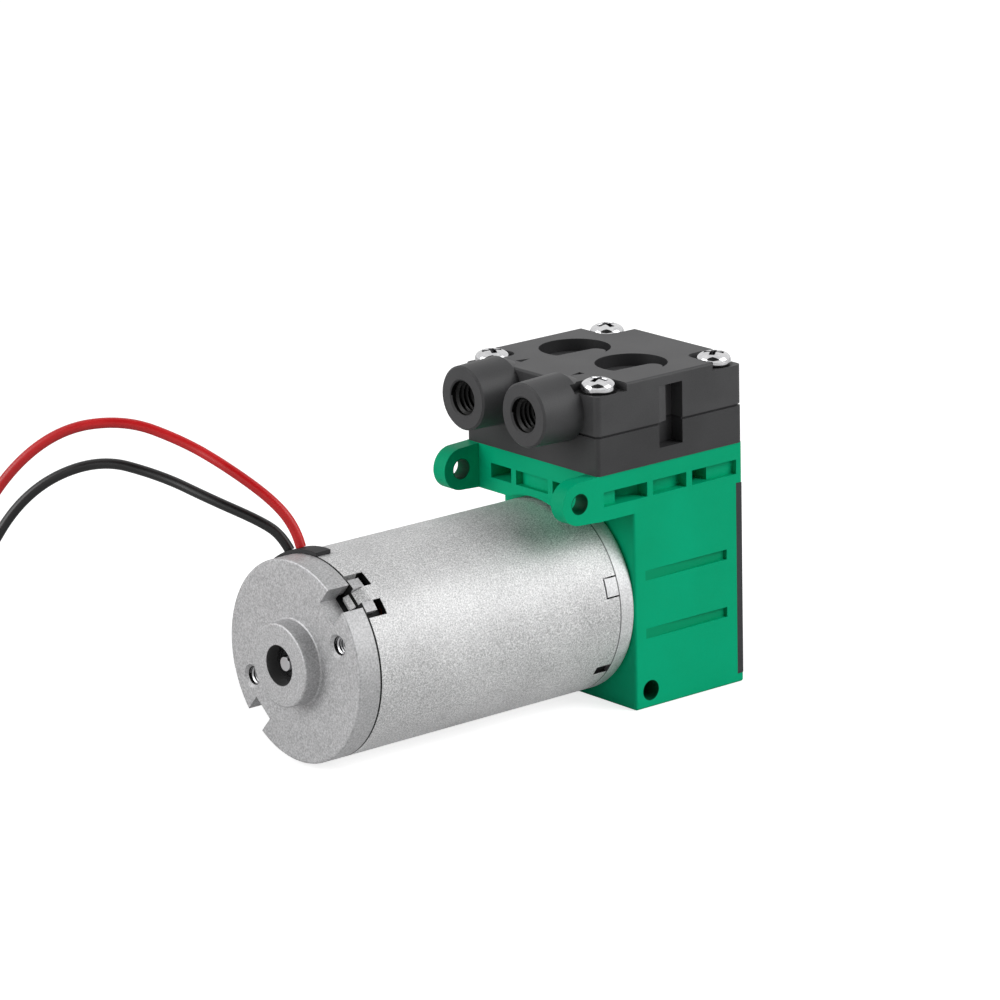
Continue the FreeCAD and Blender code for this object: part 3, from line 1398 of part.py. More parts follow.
def make_leads():
    radius = d.lead_diameter.value / 2
    tips = []
    for label, route in (("lead_red", RED_ROUTE), ("lead_black", BLACK_ROUTE)):
        path, radii = lead_path(route)
        start = Vector(*route[0])
        end = Vector(*route[-1])
        heading = (end - Vector(*route[-2])).normalize()
        section = Part.Wire(Part.makeCircle(radius, start, Vector(*route[1]) - start))
        tube = path.makePipeShell([section], True, True)
        lead = doc.addObject("Part::Feature", label)
        lead.Shape = tube
        lead.Label = label
        nodes[label] = lead
        tips.append(Part.makeCylinder(d.lead_tip_radius.value, d.lead_tip_length.value, end, heading))
        share = tube.Volume / (math.pi * radius ** 2 * path.Length)
        print(label, "length %.1f mm, smallest radius %.1f mm, volume ratio %.4f"
              % (path.Length, min(radii), share))
    tinned = doc.addObject("Part::Feature", "lead_tips")
    tinned.Shape = Part.makeCompound(tips)
    tinned.Label = "lead_tips"
    nodes["lead_tips"] = tinned


make_motor_can()
make_rear_end_cap()
make_front_end_cap()
make_wire_grommet()
motor_bearing = (d.bearing_width, d.bearing_radius, shaft_fit, d.bearing_ring, d.ball_radius, d.ball_count)
make_bearing("rear_bearing", rear_bearing_x, *motor_bearing)
make_bearing("front_bearing", front_bearing_x, *motor_bearing)
make_bearing("crank_bearing", crank_rear, d.crank_bearing_width, d.crank_bearing_radius, d.journal_radius,
             d.crank_bearing_ring, d.crank_ball_radius, d.crank_ball_count, d.stroke_half)
make_rotor()
make_stator()
make_crankcase_housing()
make_crankcase_cover()
make_machine_screws()
make_crank_drive()
make_diaphragm()
make_valve_body()
make_valve_gasket()
make_flap("inlet_flap", d.valve_offset, chamber_roof + d.flap_recess - d.flap_thickness - d.fit_clearance)
make_flap("outlet_flap", -d.valve_offset, block_top + d.fit_clearance)
make_head_cover()
make_leads()
doc.recompute()

# Nothing is written unless every object recomputed and every cut removed material
for item in doc.Objects:
    if "Invalid" in item.State or "Error" in item.State:
        raise RuntimeError("%s of %s failed" % (item.Name, item.State))
    if item.TypeId in ("PartDesign::Pocket", "PartDesign::Groove") and item.BaseFeature is not None:
        if item.BaseFeature.Shape.Volume - item.Shape.Volume < 1e-3:
            raise RuntimeError("%s cuts nothing" % item.Name)
for label, item in nodes.items():
    if item.Shape.isNull() or not item.Shape.isValid():
        raise RuntimeError("%s has no valid shape" % label)

os.makedirs("parts", exist_ok=True)
for label, item in nodes.items():
    item.Shape.exportStep(os.path.join("parts", label + ".step"))
print(len(nodes), "pieces,", sum(len(item.Shape.Solids) for item in nodes.values()), "solids")
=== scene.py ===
"""Looks of a small diaphragm vacuum pump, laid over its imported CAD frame.

Everything is in metres in the frame's axes: +X runs along the motor to the pump, +Z is up.
"""
import math

import bmesh
import bpy
import numpy as np
from mathutils import Matrix


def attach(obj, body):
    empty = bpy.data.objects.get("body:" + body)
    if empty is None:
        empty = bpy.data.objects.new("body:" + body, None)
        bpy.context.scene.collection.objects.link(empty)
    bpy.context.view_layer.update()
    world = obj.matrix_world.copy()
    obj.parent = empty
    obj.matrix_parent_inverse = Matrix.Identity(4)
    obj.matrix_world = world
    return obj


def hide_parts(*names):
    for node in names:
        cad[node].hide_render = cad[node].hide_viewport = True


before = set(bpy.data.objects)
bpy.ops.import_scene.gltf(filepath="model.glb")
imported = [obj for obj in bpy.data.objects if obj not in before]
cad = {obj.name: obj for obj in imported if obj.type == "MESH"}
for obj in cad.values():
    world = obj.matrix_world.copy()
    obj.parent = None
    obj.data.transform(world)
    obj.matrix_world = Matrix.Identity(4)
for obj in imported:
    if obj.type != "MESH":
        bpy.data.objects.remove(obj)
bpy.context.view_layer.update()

# Motor can: one sheet of steel rolled to a tube, with tabs crimped over both end caps.
# Its plating is a silver crystal grain, as fine as sand, with soft broad patches in the shine.
mm = 0.001


def shader_group(name, inputs, outputs):
    """An empty node group with its sockets, and its input and output nodes."""
    tree = bpy.data.node_groups.new(name, "ShaderNodeTree")
    for label, kind in inputs:
        tree.interface.new_socket(name=label, in_out="INPUT", socket_type="NodeSocket" + kind)
    for label, kind in outputs:
        tree.interface.new_socket(name=label, in_out="OUTPUT", socket_type="NodeSocket" + kind)
    return tree, tree.nodes.new("NodeGroupInput"), tree.nodes.new("NodeGroupOutput")


def grain_and_patches():
    """Fine noise and broad noise mixed to one mask from 0 to 1; the fine noise is also the relief."""
    tree, given, result = shader_group(
        "grain_and_patches",
        [("Place", "Vector"), ("Grain", "Float"), ("Patches", "Float"), ("Share", "Float"),
         ("Relief", "Float")],
        [("Mask", "Float"), ("Normal", "Vector")])
    spreads = []
    for label, low, high, detail in (("Grain", 0.3, 0.7, 2.0), ("Patches", 0.35, 0.65, 3.0)):
        noise = tree.nodes.new("ShaderNodeTexNoise")
        noise.inputs["Detail"].default_value = detail
        tree.links.new(given.outputs["Place"], noise.inputs["Vector"])
        tree.links.new(given.outputs[label], noise.inputs["Scale"])
        spread = tree.nodes.new("ShaderNodeMapRange")
        spread.inputs["From Min"].default_value = low
        spread.inputs["From Max"].default_value = high
        tree.links.new(noise.outputs[0], spread.inputs["Value"])
        spreads.append(spread.outputs["Result"])
    mix = tree.nodes.new("ShaderNodeMix")
    tree.links.new(given.outputs["Share"], mix.inputs[0])
    tree.links.new(spreads[1], mix.inputs[2])
    tree.links.new(spreads[0], mix.inputs[3])
    bump = tree.nodes.new("ShaderNodeBump")
    bump.inputs["Strength"].default_value = 1.0
    tree.links.new(given.outputs["Relief"], bump.inputs["Distance"])
    tree.links.new(spreads[0], bump.inputs["Height"])
    tree.links.new(mix.outputs[0], result.inputs["Mask"])
    tree.links.new(bump.outputs["Normal"], result.inputs["Normal"])
    return tree


grain = grain_and_patches()


def paint(red, green, blue):
    """Linear light of a colour as it looks on a screen, each channel from 0 to 255."""
    return tuple(((np.array([red, green, blue]) / 255.0) ** 2.2).tolist())


def finish(name, low, high, roughness, metallic=0.0, fine=4000.0, relief=2e-6, broad=90.0, share=0.5,
           shine=0.5):
    """A surface whose colour runs from low to high and whose roughness runs between two values.

    Both follow one mask: share parts of fine grain, the rest broad patches. Scales are per metre,
    the relief is the height of the grain in metres, and shine is the specular level."""
    material = bpy.data.materials.new(name)
    material.use_nodes = True
    tree = material.node_tree
    shader = tree.nodes["Principled BSDF"]
    shader.inputs["Metallic"].default_value = metallic
    shader.inputs["Specular IOR Level"].default_value = shine
    place = tree.nodes.new("ShaderNodeTexCoord")
    pattern = tree.nodes.new("ShaderNodeGroup")
    pattern.name = "pattern"
    pattern.node_tree = grain
    tree.links.new(place.outputs["Object"], pattern.inputs["Place"])
    for label, value in (("Grain", fine), ("Patches", broad), ("Share", share), ("Relief", relief)):
        pattern.inputs[label].default_value = value
    tint = tree.nodes.new("ShaderNodeMix")
    tint.name = "tint"
    tint.data_type = "RGBA"
    tint.inputs[6].default_value = (*low, 1.0)
    tint.inputs[7].default_value = (*high, 1.0)
    tree.links.new(pattern.outputs["Mask"], tint.inputs[0])
    tree.links.new(tint.outputs[2], shader.inputs["Base Color"])
    rough = tree.nodes.new("ShaderNodeMapRange")
    rough.inputs["To Min"].default_value = roughness[0]
    rough.inputs["To Max"].default_value = roughness[1]
    tree.links.new(pattern.outputs["Mask"], rough.inputs["Value"])
    tree.links.new(rough.outputs["Result"], shader.inputs["Roughness"])
    tree.links.new(pattern.outputs["Normal"], shader.inputs["Normal"])
    return material


def dress(material, *nodes):
    """Gives CAD pieces their material."""
    for node in nodes:
        for place in cad[node].material_slots:
            place.material = material


def round_an_axis():
    """One inside a radius round a line and beyond a place on it, and one close to that place."""
    tree, given, result = shader_group(
        "round_an_axis",
        [("Place", "Vector"), ("Point", "Vector"), ("Along", "Vector"), ("Radius", "Float"),
         ("Start", "Float"), ("Line", "Float")],
        [("Inside", "Float"), ("Joint", "Float")])

    def step(kind, operation, *values):
        """One step of vector or plain mathematics on sockets, which gives back the step's outputs."""
        node = tree.nodes.new(kind)
        node.operation = operation
        for socket, value in zip(node.inputs, values):
            tree.links.new(value, socket)
        return node.outputs

    vector, plain = "ShaderNodeVectorMath", "ShaderNodeMath"
    offset = step(vector, "SUBTRACT", given.outputs["Place"], given.outputs["Point"])[0]
    across = step(vector, "CROSS_PRODUCT", offset, given.outputs["Along"])[0]
    distance = step(vector, "LENGTH", across)["Value"]
    depth = step(vector, "DOT_PRODUCT", offset, given.outputs["Along"])["Value"]
    within = step(plain, "LESS_THAN", distance, given.outputs["Radius"])[0]
    beyond = step(plain, "GREATER_THAN", depth, given.outputs["Start"])[0]
    apart = step(plain, "ABSOLUTE", step(plain, "SUBTRACT", depth, given.outputs["Start"])[0])[0]
    close = step(plain, "LESS_THAN", apart, given.outputs["Line"])[0]
    tree.links.new(step(plain, "MULTIPLY", within, beyond)[0], result.inputs["Inside"])
    tree.links.new(close, result.inputs["Joint"])
    return tree


axis_mask = round_an_axis()


def lay_over(material, colour, group, values, mask_name):
    """Lays a colour over a material's own where a mask group gives one."""
    tree = material.node_tree
    place = tree.nodes.new("ShaderNodeTexCoord")
    mask = tree.nodes.new("ShaderNodeGroup")
    mask.node_tree = group
    tree.links.new(place.outputs["Object"], mask.inputs["Place"])
    for label, value in values:
        mask.inputs[label].default_value = value
    layer = tree.nodes.new("ShaderNodeMix")
    layer.data_type = "RGBA"
    layer.inputs[7].default_value = (*colour, 1.0)
    base = tree.nodes["Principled BSDF"].inputs["Base Color"]
    tree.links.new(base.links[0].from_socket, layer.inputs[6])
    tree.links.new(mask.outputs[mask_name], layer.inputs[0])
    tree.links.new(layer.outputs[2], base)


def shade(material, colour, point, along=(1.0, 0.0, 0.0), radius=0.0, start=-1.0, line=0.0):
    """Lays a colour inside a round hole, most often painted shade, or along a joint's line as a dark
    joint.
    """
    lay_over(material, colour, axis_mask,
             (("Point", point), ("Along", along), ("Radius", radius), ("Start", start), ("Line", line)),
             "Joint" if line else "Inside")


motor_axis = (0.0, 0.0, 18.34 * mm)
can_bore = 17.38 * mm
can_bore_start = -33.7 * mm
rear_joint = -36.65 * mm
front_joint = 15.85 * mm
joint_width = 0.16 * mm
painted_hollow_shade = paint(30, 30, 30)
joint_dark = paint(34, 34, 34)
joint_grey = paint(112, 112, 113)
plated_steel = finish("plated_steel", paint(160, 160, 161), paint(248, 248, 248), (0.54, 0.68),
                      metallic=0.75, fine=4200.0, relief=9e-6, broad=90.0, share=0.85)
# Painted shade on everything inside the can's bore: its inner wall, slot walls and dimples.
shade(plated_steel, painted_hollow_shade, motor_axis, radius=can_bore, start=can_bore_start)
shade(plated_steel, joint_dark, motor_axis, start=rear_joint, line=1.4 * joint_width)
shade(plated_steel, joint_grey, motor_axis, start=front_joint, line=0.8 * joint_width)
dress(plated_steel, "motor_can")

# Rear end cap: die-cast zinc, grey and matt, with the bearing boss and two tapped holes.
# The holes carry a rolled M3 thread, made here as a ridge wound along the wall.


def zinc(name, low, high):
    """The grainy skin that shot blasting leaves on a casting."""
    return finish(name, low, high, (0.5, 0.64), metallic=0.7, fine=3200.0, relief=1.3e-5, broad=700.0,
                  share=0.88)


cast_zinc = zinc("cast_zinc", paint(160, 160, 161), paint(208, 208, 209))
rear_zinc = zinc("rear_zinc", paint(156, 156, 157), paint(208, 208, 209))
boss_bore, spigot_radius = 3.53 * mm, 16.4 * mm
# Painted shade in the boss's bore, and on the spigot that reaches into the can.
shade(rear_zinc, paint(104, 104, 104), motor_axis, radius=boss_bore)
shade(rear_zinc, painted_hollow_shade, motor_axis, radius=spigot_radius, start=rear_joint + 0.02 * mm)
shade(rear_zinc, joint_dark, motor_axis, start=rear_joint, line=joint_width)


def tube_faces(rows, columns):
    """Quads of a grid that wraps round in its columns, with its two ends closed by one face each."""
    row, column = np.meshgrid(np.arange(rows - 1), np.arange(columns), indexing="ij")
    after = (column + 1) % columns
    quads = np.stack([row * columns + column, row * columns + after,
                      (row + 1) * columns + after, (row + 1) * columns + column], axis=-1)
    last = (rows - 1) * columns
    return quads.reshape(-1, 4).tolist() + [list(range(columns)), list(range(last, last + columns))]


def closed_piece(name, shells, material, body, sharp=35.0):
    """One object from closed point grids, each wrapped round in its columns, normals outwards."""
    points, faces, start = [], [], 0
    for shell in shells:
        rows, columns = shell.shape[:2]
        points.append(shell.reshape(-1, 3))
        faces += [[start + corner for corner in face] for face in tube_faces(rows, columns)]
        start += rows * columns
    mesh = bpy.data.meshes.new(name)
    mesh.from_pydata(np.concatenate(points).tolist(), [], faces)
    cleaner = bmesh.new()
    cleaner.from_mesh(mesh)
    bmesh.ops.remove_doubles(cleaner, verts=cleaner.verts, dist=1e-7)
    bmesh.ops.recalc_face_normals(cleaner, faces=cleaner.faces)
    cleaner.to_mesh(mesh)
    cleaner.free()
    mesh.materials.append(material)
    mesh.shade_smooth()
    mesh.set_sharp_from_angle(angle=math.radians(sharp))
    piece = bpy.data.objects.new(name, mesh)
    bpy.context.scene.collection.objects.link(piece)
    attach(piece, body)
    return piece


def thread_ridge(mouth, radius, crest, pitch, length):
    """A helical ridge on the wall of a hole that opens towards -X at mouth.

    Along it the angle grows a turn for each pitch of depth. Across it four points go round a
    trapezium from inside the wall to the crest, and the crest sinks to the wall at both ends."""
    turns = length / pitch - 1
    along = np.linspace(0.0, 1.0, int(turns * 48))[:, None]
    rise = np.clip(np.minimum(along, 1 - along) * turns * 1.5, 0.0, 1.0)
    buried = radius + 0.03 * mm
    reach = np.concatenate([buried + 0 * rise, radius + (crest - radius) * rise,
                            radius + (crest - radius) * rise, buried + 0 * rise], axis=1)
    shift = np.array([-0.46, -0.08, 0.08, 0.46])[None, :] * pitch
    angle = 2 * np.pi * turns * along
    depth = mouth[0] + pitch * (0.5 + turns * along) + shift
    return np.stack([depth, mouth[1] + reach * np.cos(angle), mouth[2] + reach * np.sin(angle)],
                    axis=-1)


hole_radius = 1.5 * mm
face_holes = [(-40.6 * mm, -11.876 * mm, 23.628 * mm), (-40.6 * mm, 11.876 * mm, 13.052 * mm)]
# Painted shade inside the two tapped holes.
for hole in face_holes:
    shade(rear_zinc, painted_hollow_shade, hole, radius=hole_radius + 0.1 * mm)
dress(rear_zinc, "rear_end_cap")
bright_cut = finish("bright_cut", paint(150, 150, 152), paint(214, 214, 216), (0.25, 0.4),
                    metallic=0.9, fine=5200.0, relief=2e-6, broad=400.0)
face_threads = closed_piece(
    "face_hole_threads",
    [thread_ridge(hole, hole_radius, crest=1.24 * mm, pitch=0.5 * mm, length=2.7 * mm)
     for hole in face_holes],
    bright_cut, "root")

# Front end cap: a casting too, in paler zinc than the rear cap, held by crimped lugs, with the front
# bearing's seat.
# Only its rim shows, in the gap between the can and the crankcase.
pale_zinc = zinc("pale_zinc", paint(196, 196, 197), paint(238, 238, 239))
shade(pale_zinc, joint_grey, motor_axis, start=front_joint, line=0.8 * joint_width)
dress(pale_zinc, "front_end_cap")

# Ball bearings: ground rings with thin shields and polished balls between them.
# The rear one, inside the boss, is painted dark as shade; the two others keep the ground steel's
# colour.
ground_steel = finish("ground_steel", paint(140, 141, 145), paint(205, 206, 208), (0.16, 0.3),
                      metallic=1.0, fine=6000.0, relief=1e-6, broad=500.0)
polished_steel = finish("polished_steel", paint(190, 190, 194), paint(226, 226, 228), (0.06, 0.12),
                        metallic=1.0, fine=3000.0, relief=2e-7, broad=800.0)
# A darker copy of the ground steel: painted shade for the rear bearing deep in the boss.
shaded_bearing_steel = finish("shaded_bearing_steel", paint(60, 60, 61), paint(110, 110, 112), (0.2, 0.34), metallic=0.9,
                     fine=6000.0, relief=1e-6, broad=500.0)
dress(shaded_bearing_steel, "rear_bearing_outer", "rear_bearing_inner")
dress(ground_steel, "front_bearing_outer", "front_bearing_inner",
      "crank_bearing_outer", "crank_bearing_inner")
dress(polished_steel, "rear_bearing_balls", "front_bearing_balls", "crank_bearing_balls")

# Rotor: a ground shaft, a stack of punched sheets with five wound poles, and the commutator.
# The sheets show as fine lines across X, the windings as lacquered copper wire.


def banded(material, pitch, depth, across):
    """Adds fine grooves that repeat along one axis, one for each pitch, as relief."""
    tree = material.node_tree
    wave = tree.nodes.new("ShaderNodeTexWave")
    wave.bands_direction = across
    wave.wave_profile = "SIN"
    wave.inputs["Scale"].default_value = math.pi / (10.0 * pitch)
    wave.inputs["Distortion"].default_value = 0.4
    place = tree.nodes.new("ShaderNodeTexCoord")
    tree.links.new(place.outputs["Object"], wave.inputs["Vector"])
    bump = tree.nodes.new("ShaderNodeBump")
    bump.inputs["Distance"].default_value = depth
    tree.links.new(wave.outputs["Fac"], bump.inputs["Height"])
    tree.links.new(tree.nodes["pattern"].outputs["Normal"], bump.inputs["Normal"])
    tree.links.new(bump.outputs["Normal"], tree.nodes["Principled BSDF"].inputs["Normal"])
    return material


shaft_steel = polished_steel.copy()
shaft_steel.name = "shaft_steel"
backwards = (-1.0, 0.0, 0.0)
shaft_tail = 34.0 * mm
# Painted shade on the shaft's tail inside the boss and round its end; the end's middle is given back a
# plain pale steel colour.
shade(shaft_steel, paint(92, 92, 94), motor_axis, backwards, radius=1.6 * mm, start=shaft_tail)
shade(shaft_steel, paint(214, 214, 216), motor_axis, backwards, radius=1.25 * mm, start=shaft_tail)
dress(shaft_steel, "motor_shaft")
punched_sheets = banded(finish("punched_sheets", paint(96, 98, 104), paint(150, 152, 156), (0.3, 0.5),
                               metallic=0.9, fine=3000.0), 0.5 * mm, 4e-5, "X")
dress(punched_sheets, "armature_core")
lacquered_wire = banded(finish("lacquered_wire", paint(120, 52, 22), paint(196, 98, 44), (0.18, 0.34),
                               metallic=0.8, fine=2500.0, broad=300.0), 0.36 * mm, 1.2e-4, "Z")
dress(lacquered_wire, "windings")
bare_copper = finish("bare_copper", paint(176, 96, 54), paint(224, 150, 98), (0.22, 0.4),
                     metallic=1.0, fine=5000.0, relief=1e-6)
dress(bare_copper, "commutator")
insulating_plastic = finish("insulating_plastic", paint(34, 35, 36), paint(54, 55, 57), (0.42, 0.6),
                            fine=5200.0, relief=3e-6)
dress(insulating_plastic, "shaft_spacers", "brush_holder")

# Stator: two sintered ferrite magnets, and the brush plate with its brass tubes and carbon brushes.
# All of it stands inside the can and is seen only through the slots.
ferrite = finish("ferrite", paint(44, 44, 48), paint(74, 74, 78), (0.6, 0.8), fine=1500.0, relief=8e-6)
dress(ferrite, "magnets")
stamped_brass = finish("stamped_brass", paint(176, 140, 66), paint(222, 190, 112), (0.24, 0.4),
                       metallic=1.0, fine=4200.0, relief=1e-6)
dress(stamped_brass, "brush_tubes", "brush_springs")
pressed_carbon = finish("pressed_carbon", paint(26, 26, 28), paint(48, 48, 50), (0.5, 0.72),
                        fine=2600.0, relief=5e-6)
dress(pressed_carbon, "brushes")

# Wire grommet: a black moulded rubber block in the can's edge, which both leads pass through.
# It is dull, with a faint bloom.
black_rubber = finish("black_rubber", paint(20, 20, 21), paint(44, 44, 46), (0.55, 0.78),
                      fine=3000.0, relief=5e-6, broad=260.0)
dress(black_rubber, "wire_grommet")

# Crankcase: one green injection moulding, open at the front, with a pocketed deck and two lugs.
# Its skin is a fine satin; broad patches in it come from the way the plastic flowed.


def inside_a_box():
    """One where a place is nearer to a box's middle than its half size, along all three axes."""
    tree, given, result = shader_group(
        "inside_a_box", [("Place", "Vector"), ("Middle", "Vector"), ("Half", "Vector")],
        [("Inside", "Float")])
    offset, reach, room = [tree.nodes.new("ShaderNodeVectorMath") for _ in range(3)]
    offset.operation, reach.operation, room.operation = "SUBTRACT", "ABSOLUTE", "SUBTRACT"
    tree.links.new(given.outputs["Place"], offset.inputs[0])
    tree.links.new(given.outputs["Middle"], offset.inputs[1])
    tree.links.new(offset.outputs[0], reach.inputs[0])
    tree.links.new(given.outputs["Half"], room.inputs[0])
    tree.links.new(reach.outputs[0], room.inputs[1])
    parts = tree.nodes.new("ShaderNodeSeparateXYZ")
    tree.links.new(room.outputs[0], parts.inputs[0])
    least = parts.outputs[0]
    for part in parts.outputs[1:]:
        lower = tree.nodes.new("ShaderNodeMath")
        lower.operation = "MINIMUM"
        tree.links.new(least, lower.inputs[0])
        tree.links.new(part, lower.inputs[1])
        least = lower.outputs[0]
    above = tree.nodes.new("ShaderNodeMath")
    above.operation = "GREATER_THAN"
    above.inputs[1].default_value = 0.0
    tree.links.new(least, above.inputs[0])
    tree.links.new(above.outputs[0], result.inputs["Inside"])
    return tree


box_mask = inside_a_box()


def tint_box(material, colour, middle, half):
    """Lays a colour over what lies inside a box, here painted shade in a groove."""
    lay_over(material, colour, box_mask, (("Middle", middle), ("Half", half)), "Inside")


green_moulding = finish("green_moulding", paint(0, 160, 113), paint(2, 170, 123), (0.4, 0.52),
                        fine=4800.0, relief=2e-6, broad=60.0, share=0.35, shine=0.08)
green_shadow = paint(0, 84, 56)
lug_holes = (7.25 * mm, 0.0, 39.44 * mm)
corner_hole = (22.65 * mm, 0.0, 3.14 * mm)
sideways = (0.0, 1.0, 0.0)
shade(green_moulding, green_shadow, lug_holes, sideways, radius=1.85 * mm)
shade(green_moulding, green_shadow, corner_hole, sideways, radius=1.83 * mm)
# Painted shade along the four grooves in the sides.
groove_painted_shade = paint(0, 146, 101)
groove_half_size = (9.4 * mm, 0.5 * mm, 0.9 * mm)
for side in (-1, 1):
    for height in (13.44, 23.84):
        groove_middle = (31.15 * mm, side * 17.0 * mm, height * mm)
        tint_box(green_moulding, groove_painted_shade, groove_middle, groove_half_size)
dress(green_moulding, "crankcase_housing")
dark_moulding = finish("dark_moulding", paint(30, 31, 33), paint(52, 53, 55), (0.4, 0.56),
                       fine=4200.0, relief=4e-6)
dress(dark_moulding, "crankcase_cover")

# Cover screws and motor screws: zinc-plated steel with a cross recess.
# Four countersunk ones hold the cover from the front, two hold the motor from inside the crankcase.


def cross_recess(across, ahead, depth, arm, half_width, wall_width=0.12 * mm):
    """Depth of a cross recess over a head, the deeper of two slots.

    Each slot's depth is full inside its half width, falls off over a narrow wall, and shrinks
    evenly along the slot to nothing at the end of the arm."""
    def slot_depth(along, aside):
        """Depth of one slot that runs along one direction."""
        wall = np.clip((half_width + wall_width / 2 - np.abs(aside)) / wall_width, 0.0, 1.0)
        return depth * wall * np.clip((arm - np.abs(along)) / (arm - half_width), 0.0, 1.0)

    return np.maximum(slot_depth(across, ahead), slot_depth(ahead, across))


def screw_shank(length, radius=1.5 * mm, pitch=0.5 * mm, columns=24):
    """A threaded shank: its radius is a triangle wave of height plus the angle's share of a turn."""
    turns = int(length / pitch)
    height = -np.linspace(0.0, length, turns * 6)[:, None]
    angle = np.linspace(0, 2 * np.pi, columns, endpoint=False)[None, :]
    phase = (height / pitch + angle / (2 * np.pi)) % 1.0
    ridge = radius - 0.44 * pitch * np.abs(2 * phase - 1)
    ridge = ridge * np.clip((length + height) / pitch + 0.6, 0.0, 1.0)
    return np.stack([ridge * np.cos(angle), ridge * np.sin(angle), height + 0 * angle], axis=-1)


def flat_head(head=1.9 * mm, neck=0.95 * mm, columns=96):
    """A countersunk head: a flat face less a cross recess, then a cone as deep as it narrows."""
    radius = np.concatenate([np.linspace(0.0, 1.3, 40)[1:] * mm, [1.6 * mm, head]])[:, None]
    angle = np.linspace(0, 2 * np.pi, columns, endpoint=False)[None, :]
    across, ahead = radius * np.cos(angle), radius * np.sin(angle)
    recess = cross_recess(across, ahead, depth=0.8 * mm, arm=1.2 * mm, half_width=0.27 * mm,
                          wall_width=0.08 * mm)
    face = np.stack([across, ahead, -recess], axis=-1)
    root = np.stack([neck * np.cos(angle), neck * np.sin(angle), neck - head + 0 * angle], axis=-1)
    return np.concatenate([face, root])


cover_front = 44.35 * mm
bright_zinc = finish("bright_zinc", paint(196, 197, 200), paint(236, 236, 238), (0.1, 0.2),
                     metallic=1.0, fine=3600.0, relief=1e-6, broad=600.0)
dress(bright_zinc, "motor_screws", "clamp_screw")
recess_shade = paint(72, 72, 74)
cover_shells = []
for height, side, turn in ((3.84, -1, 12.0), (3.84, 1, 55.0), (34.04, -1, 31.0), (34.04, 1, 74.0)):
    spin = np.array(Matrix.Rotation(math.radians(turn), 3, "Z"))
    place = np.array([cover_front, side * 14.88 * mm, height * mm])
    shank = screw_shank(5.2 * mm, radius=0.95 * mm, pitch=0.4 * mm) - [0.0, 0.0, 0.8 * mm]
    cover_shells += [(shell @ spin.T)[..., [2, 0, 1]] + place for shell in (flat_head(), shank)]
    # Painted shade in each screw's cross recess.
    shade(bright_zinc, recess_shade, place.tolist(), backwards, radius=1.25 * mm, start=0.05 * mm)
cover_screws = closed_piece("countersunk_screws", cover_shells, bright_zinc, "root", sharp=30.0)
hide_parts("cover_screws")

# Crank drive: a cast eccentric with its counterweight, clamped by a grub screw, and a moulded rod.
# The rod's ring holds the crank bearing, and its foot carries the diaphragm.
dress(cast_zinc, "eccentric", "clamp_disc")
dress(ground_steel, "grub_screw")
dress(dark_moulding, "connecting_rod")
dress(black_rubber, "diaphragm")

# Valve body: the lower block of the head, charcoal moulded plastic with pointed side slots.
# Two rubber flaps lie on it, and a thin gasket makes the dark line under the head cover.
lower_charcoal = finish("lower_charcoal", paint(48, 48, 49), paint(60, 60, 61), (0.42, 0.56),
                        fine=4600.0, relief=4e-6, broad=80.0, share=0.4, shine=0.35)
dress(lower_charcoal, "valve_body")
dress(black_rubber, "valve_gasket", "inlet_flap", "outlet_flap")

# Head cover: the upper block with its two ports, from the same charcoal plastic, a little paler.
# Each port has an M6 thread for a hose barb, made as a ridge wound along its wall.
upper_charcoal = finish("upper_charcoal", paint(60, 60, 61), paint(73, 73, 74), (0.42, 0.54),
                        fine=4600.0, relief=4e-6, broad=80.0, share=0.4, shine=0.3)
port_mouths = [(2.85 * mm, side * 8.06 * mm, 54.01 * mm) for side in (-1, 1)]
painted_bore_shade = paint(20, 20, 20)
cover_charcoal = upper_charcoal.copy()
cover_charcoal.name = "cover_charcoal"
head_top = 58.69 * mm
head_floor = 57.24 * mm
port_radius = 3.0 * mm
port_depth = 7.7 * mm
recess_radius = 6.3 * mm
recess_wall_shade, recess_floor = paint(42, 42, 43), paint(66, 66, 67)
downwards = (0.0, 0.0, -1.0)
# Painted shade in the two port bores.
for mouth in port_mouths:
    shade(cover_charcoal, painted_bore_shade, mouth, backwards, radius=port_radius + 0.04 * mm,
          start=-port_depth)
# Painted shade on the walls of the two round recesses; their floors are given back the plastic's own
# middle tone.
for side in (-1, 1):
    middle = (27.8 * mm, side * 7.4 * mm, head_top)
    shade(cover_charcoal, recess_wall_shade, middle, downwards, radius=recess_radius + 0.04 * mm,
          start=0.05 * mm)
    shade(cover_charcoal, recess_floor, middle, downwards, radius=recess_radius - 0.08 * mm,
          start=2.1 * mm)
screw_places = [(x * mm, side * 13.95 * mm, head_floor) for x in (14.6, 40.9) for side in (-1, 1)]
# Painted shade on the seats round the four head screws.
for place in screw_places:
    shade(cover_charcoal, painted_bore_shade, place, downwards, radius=3.3 * mm, start=-1.2 * mm)
dress(cover_charcoal, "head_cover")
# The port threads are the charcoal plastic painted near black, as painted shade deep in the bores.
shaded_thread_charcoal = finish("shaded_thread_charcoal", paint(14, 14, 14), paint(24, 24, 24), (0.26, 0.4),
                         fine=3000.0, relief=2e-6, shine=0.22)
port_threads = closed_piece(
    "port_threads",
    [thread_ridge(mouth, port_radius, crest=2.52 * mm, pitch=1.0 * mm, length=7.1 * mm)
     for mouth in port_mouths],
    shaded_thread_charcoal, "root")

# Head screws: four bright pan-head screws with a cross recess, each stopped at its own turn.
# Head and recess are one height field over a polar grid; the shank carries a rolled M3 thread.
head_radius = 3.0 * mm
head_height = 2.3 * mm


